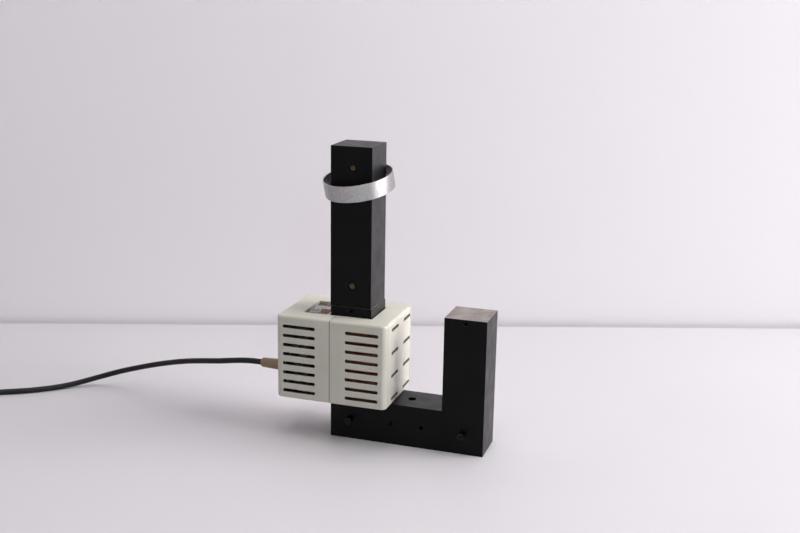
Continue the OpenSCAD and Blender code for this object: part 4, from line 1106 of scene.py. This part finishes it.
def make_rivets():
    """Two rivets through the yoke, with low domed heads in their recesses."""
    low, high = span_of("yoke_rivets")
    middle = (low + high) / 2
    half = (high.y - low.y) / 2
    seat = half - HEAD_H
    profile = [(0, half)]
    for degrees in range(10, 90, 10):
        angle = math.radians(degrees)
        profile.append((HEAD_R * math.sin(angle), seat + HEAD_H * math.cos(angle)))
    profile += [(HEAD_R, seat), (SHANK_R, seat)]
    profile += [(r, -along) for r, along in profile[::-1]]
    rivet = turned("rivet", profile, (middle.x, middle.y, 0), (0, 1, 0), sides=40, material=OLD_BRASS)
    smooth(rivet, 50)
    first = (0, 0, low.z + SOLID_HEAD_D / 2)
    rivets = row("rivets", rivet, 2, first, (0, 0, high.z - low.z - SOLID_HEAD_D), OLD_BRASS)
    placed(rivets, "yoke", "rivet_brass", "yoke_rivets")


def make_relief():
    """Tapered rubber strain relief with a rounded tip, round the cord."""
    length = RELIEF_HIGH.x - RELIEF_LOW.x
    collar_r = (RELIEF_HIGH.z - RELIEF_LOW.z) / 2
    bore = CORD_D / 2 + RELIEF_FIT
    to_case = CASE_LOW.x - RELIEF_LOW.x
    collar = to_case + WALL
    profile = [(bore, 0.3), (bore + 0.4, 0)]
    for degrees in range(30, 91, 15):
        angle = math.radians(degrees)
        profile.append((TIP_R * math.sin(angle) ** 0.6, TIP_LEN - TIP_LEN * math.cos(angle)))
    profile += [(NECK_R, to_case - 2), (ROOT_R, to_case), (ROOT_R, collar)]
    profile += [(collar_r - RELIEF_EDGE, collar), (collar_r, collar + RELIEF_EDGE)]
    profile += [(collar_r, length - RELIEF_EDGE), (collar_r - RELIEF_EDGE, length), (bore, length)]
    at = (RELIEF_LOW.x, 0, CORD_AXIS_Z)
    relief = turned("cord_relief", profile, at, (1, 0, 0), sides=48, material=RELIEF_BEIGE)
    smooth(relief, 40)
    placed(relief, "coil", "relief_rubber", "strain_relief")


def make_small_parts():
    """Fittings whose own shape is kept, with softened edges."""
    # Node, piece, width of the softened edges, material, body, slot
    listed = [
        ("clamp_studs", "core_studs", 0.35, DARK_STEEL, "core", "dark_steel"),
        ("rocker", "switch_rocker", 0.45, ROCKER_WHITE, "rocker", "rocker_plastic"),
        # The lens's pale pink is painted light
        ("lamp_lens", "red_lens", 0.4, ACRYLIC_PAINTED_LIGHT, "coil", "lens_plastic"),
        ("switch_tray", "window_tray", 0.25, TRAY_GREY, "coil", "tray_plastic"),
        ("switch_body", "rocker_switch", 0.3, ROCKER_WHITE, "coil", "rocker_plastic"),
        ("plug_body", "mains_plug", 1.2, PLUG_BLACK, "core", "plug_black"),
        ("plug_boot", "plug_sleeve", 0.5, PLUG_BLACK, "core", "cord_black"),
        ("plug_pins", "round_pins", 0.7, NICKEL, "core", "pin_plate"),
        ("cord_tie", "cord_binder", 0.15, TIE_NYLON, "core", "plug_black"),
        ("coil_former", "winding_former", 0.4, FORMER_NYLON, "coil", "former_plastic"),
        ("terminal_block", "lead_block", 0.4, BLOCK_NYLON, "coil", "block_plastic"),
        ("case_screws", "bottom_screws", 0.3, ZINC_STEEL, "coil", "bright_steel"),
    ]
    for node, name, width, material, body, slot in listed:
        placed(softened_node(node, name, width, [material]), body, slot, node)


make_rivets()
make_relief()
make_small_parts()
make_cord()


# Finishes of the nodes that keep their own shape

# The winding core's copper carries the same painted light
DRESSED = {
    "winding_core": COPPER_PAINTED_LIGHT, "divider_board": LAMINATE, "winding_tags": BRIGHT_BRASS,
    "terminal_tubes": BRIGHT_BRASS, "terminal_screws": ZINC_STEEL, "thermal_cutout": CUTOUT_PPS,
    "switch_blades": BRIGHT_BRASS, "rocker_pin": ZINC_STEEL, "neon_lamp": NEON, "cord_end": CABLE,
    "clamp_base": BLOCK_NYLON, "clamp_bar": BLOCK_NYLON, "clamp_screws": ZINC_STEEL,
    "core_live": BROWN_PVC, "core_neutral": BLUE_PVC, "core_earth": EARTH_PVC,
    "switch_leads": WHITE_PVC, "tag_leads": WHITE_PVC, "winding_leads": WHITE_PVC, "earth_strips": NICKEL,
}
for node, material in DRESSED.items():
    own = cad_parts[node].data.materials
    own.clear()
    own.append(material)


# Floor, backdrop and light

# Ends of the table's rear edge at the sides of the view, seen from above, and how far it runs on past them
EDGE_LEFT = Vector((-538.1, 166.2))
EDGE_RIGHT = Vector((294.7, 466.7))
EDGE_RUN = 2500
# Depth of the table, and of the floor behind the wall
TABLE_DEPTH = 3000
BOARD_T = 30
# Gaps from the table's rear edge to the wall, and from the wall to the rear floor
WALL_GAP = 8
REAR_GAP = 1
WALL_FOOT = -400
WALL_TOP = 3000
# How strongly the wall is lifted where it is seen
WALL_LIFT = 0.07


def seen_directly(tree):
    """One for rays from the camera, off gloss or through glass, and nought for light on the object."""
    rays = add(tree, "ShaderNodeLightPath").outputs
    seen = rays["Is Camera Ray"]
    for kind in ("Is Glossy Ray", "Is Transmission Ray"):
        either = add(tree, "ShaderNodeMath", {"operation": "MAXIMUM"}, Value=seen)
        tree.links.new(rays[kind], either.inputs[1])
        seen = either.outputs["Value"]
    return seen


def make_wall_paint():
    """White emulsion on the wall, lifted a little where it is seen, and clear from behind for rear views."""
    wall, tree, shader = finish_of("painted_wall", "#f6f1f6", 0.7)
    mottle(tree, shader, "#f5f0f5", "#f7f2f7", 500)
    lift = add(tree, "ShaderNodeMath", {"operation": "MULTIPLY"}, {1: WALL_LIFT}, Value=seen_directly(tree))
    shader.inputs["Emission Color"].default_value = colour("#fbf6fb")
    tree.links.new(lift.outputs["Value"], shader.inputs["Emission Strength"])
    side = add(tree, "ShaderNodeNewGeometry")
    clear = add(tree, "ShaderNodeBsdfTransparent")
    one_way = add(tree, "ShaderNodeMixShader", Fac=side.outputs["Backfacing"])
    tree.links.new(shader.outputs[0], one_way.inputs[1])
    tree.links.new(clear.outputs[0], one_way.inputs[2])
    output = next(node for node in tree.nodes if node.type == "OUTPUT_MATERIAL")
    tree.links.new(one_way.outputs[0], output.inputs["Surface"])
    return wall


def floor_slab(name, near_edge, far_edge, material):
    """A flat board between two edges that are each given by two ends."""
    corners = [near_edge[0], near_edge[1], far_edge[1], far_edge[0]]
    points = [(p.x, p.y, z) for z in (0, -BOARD_T) for p in corners]
    faces = [(0, 1, 2, 3), (7, 6, 5, 4), (2, 6, 7, 3), (0, 4, 5, 1), (1, 5, 6, 2), (3, 7, 4, 0)]
    return mesh_piece(name, points, faces, material)


def make_stage():
    """White table top whose rear edge stands just clear of a plain wall, and a like floor behind the wall."""
    table, tree, shader = finish_of("white_table_top", "#dcd8dd", 0.5)
    mottle(tree, shader, "#dbd7dc", "#dedadf", 400)
    along = (EDGE_RIGHT - EDGE_LEFT).normalized()
    edge = (EDGE_LEFT - EDGE_RUN * along, EDGE_RIGHT + EDGE_RUN * along)
    back = Vector((edge[0].y - edge[1].y, edge[1].x - edge[0].x)).normalized()
    top = floor_slab("table_top", [p - TABLE_DEPTH * back for p in edge], edge, table)
    foot = [p + WALL_GAP * back for p in edge]
    rear = floor_slab(
        "rear_floor", [p + REAR_GAP * back for p in foot], [p + TABLE_DEPTH * back for p in foot], table
    )
    points = [(p.x, p.y, z) for z in (WALL_FOOT, WALL_TOP) for p in foot]
    screen = mesh_piece("wall", points, [(0, 1, 3, 2)], make_wall_paint())


def area_light(name, at, target, size_m, watts, tint="#ffffff"):
    """A soft rectangular lamp at one point that looks at another, both in millimetres."""
    data = bpy.data.lights.new(name, "AREA")
    data.shape = "RECTANGLE"
    data.size, data.size_y = size_m
    data.energy = watts
    data.color = colour(tint)[:3]
    lamp = bpy.data.objects.new(name, data)
    lamp.location = mm(*at)
    lamp.rotation_mode = "QUATERNION"
    lamp.rotation_quaternion = (mm(*target) - mm(*at)).to_track_quat("-Z", "Y")
    bpy.context.scene.collection.objects.link(lamp)


def make_light():
    """Soft window light from the right, a wide fill from above, and a small lamp in front.

    The room gives almost no light. What is seen or mirrored of it is pale all round.
    """
    area_light("window", at=(2580, 440, 1500), target=(0, 100, 120), size_m=(2.1, 2.6), watts=111)
    area_light("ceiling", at=(150, 60, 2100), target=(50, 80, 0), size_m=(3.2, 0.8), watts=22, tint="#fffafb")
    area_light(
        "front_lamp", at=(1120, -2065, 1105), target=(0, 0, 150), size_m=(0.1, 0.5), watts=2, tint="#a4f0c8"
    )
    world = bpy.data.worlds.new("surround")
    world.use_nodes = True
    tree = world.node_tree
    room = tree.nodes["Background"]
    room.inputs["Color"].default_value = colour("#b8ecd8")
    room.inputs["Strength"].default_value = 0.015
    pale = add(tree, "ShaderNodeBackground", inputs={"Color": colour("#c6c5c7"), "Strength": 1.0})
    either = add(tree, "ShaderNodeMixShader", Fac=seen_directly(tree))
    tree.links.new(room.outputs[0], either.inputs[1])
    tree.links.new(pale.outputs[0], either.inputs[2])
    tree.links.new(either.outputs[0], tree.nodes["World Output"].inputs["Surface"])
    bpy.context.scene.world = world


make_stage()
make_light()
bpy.context.scene.view_settings.view_transform = "Standard"
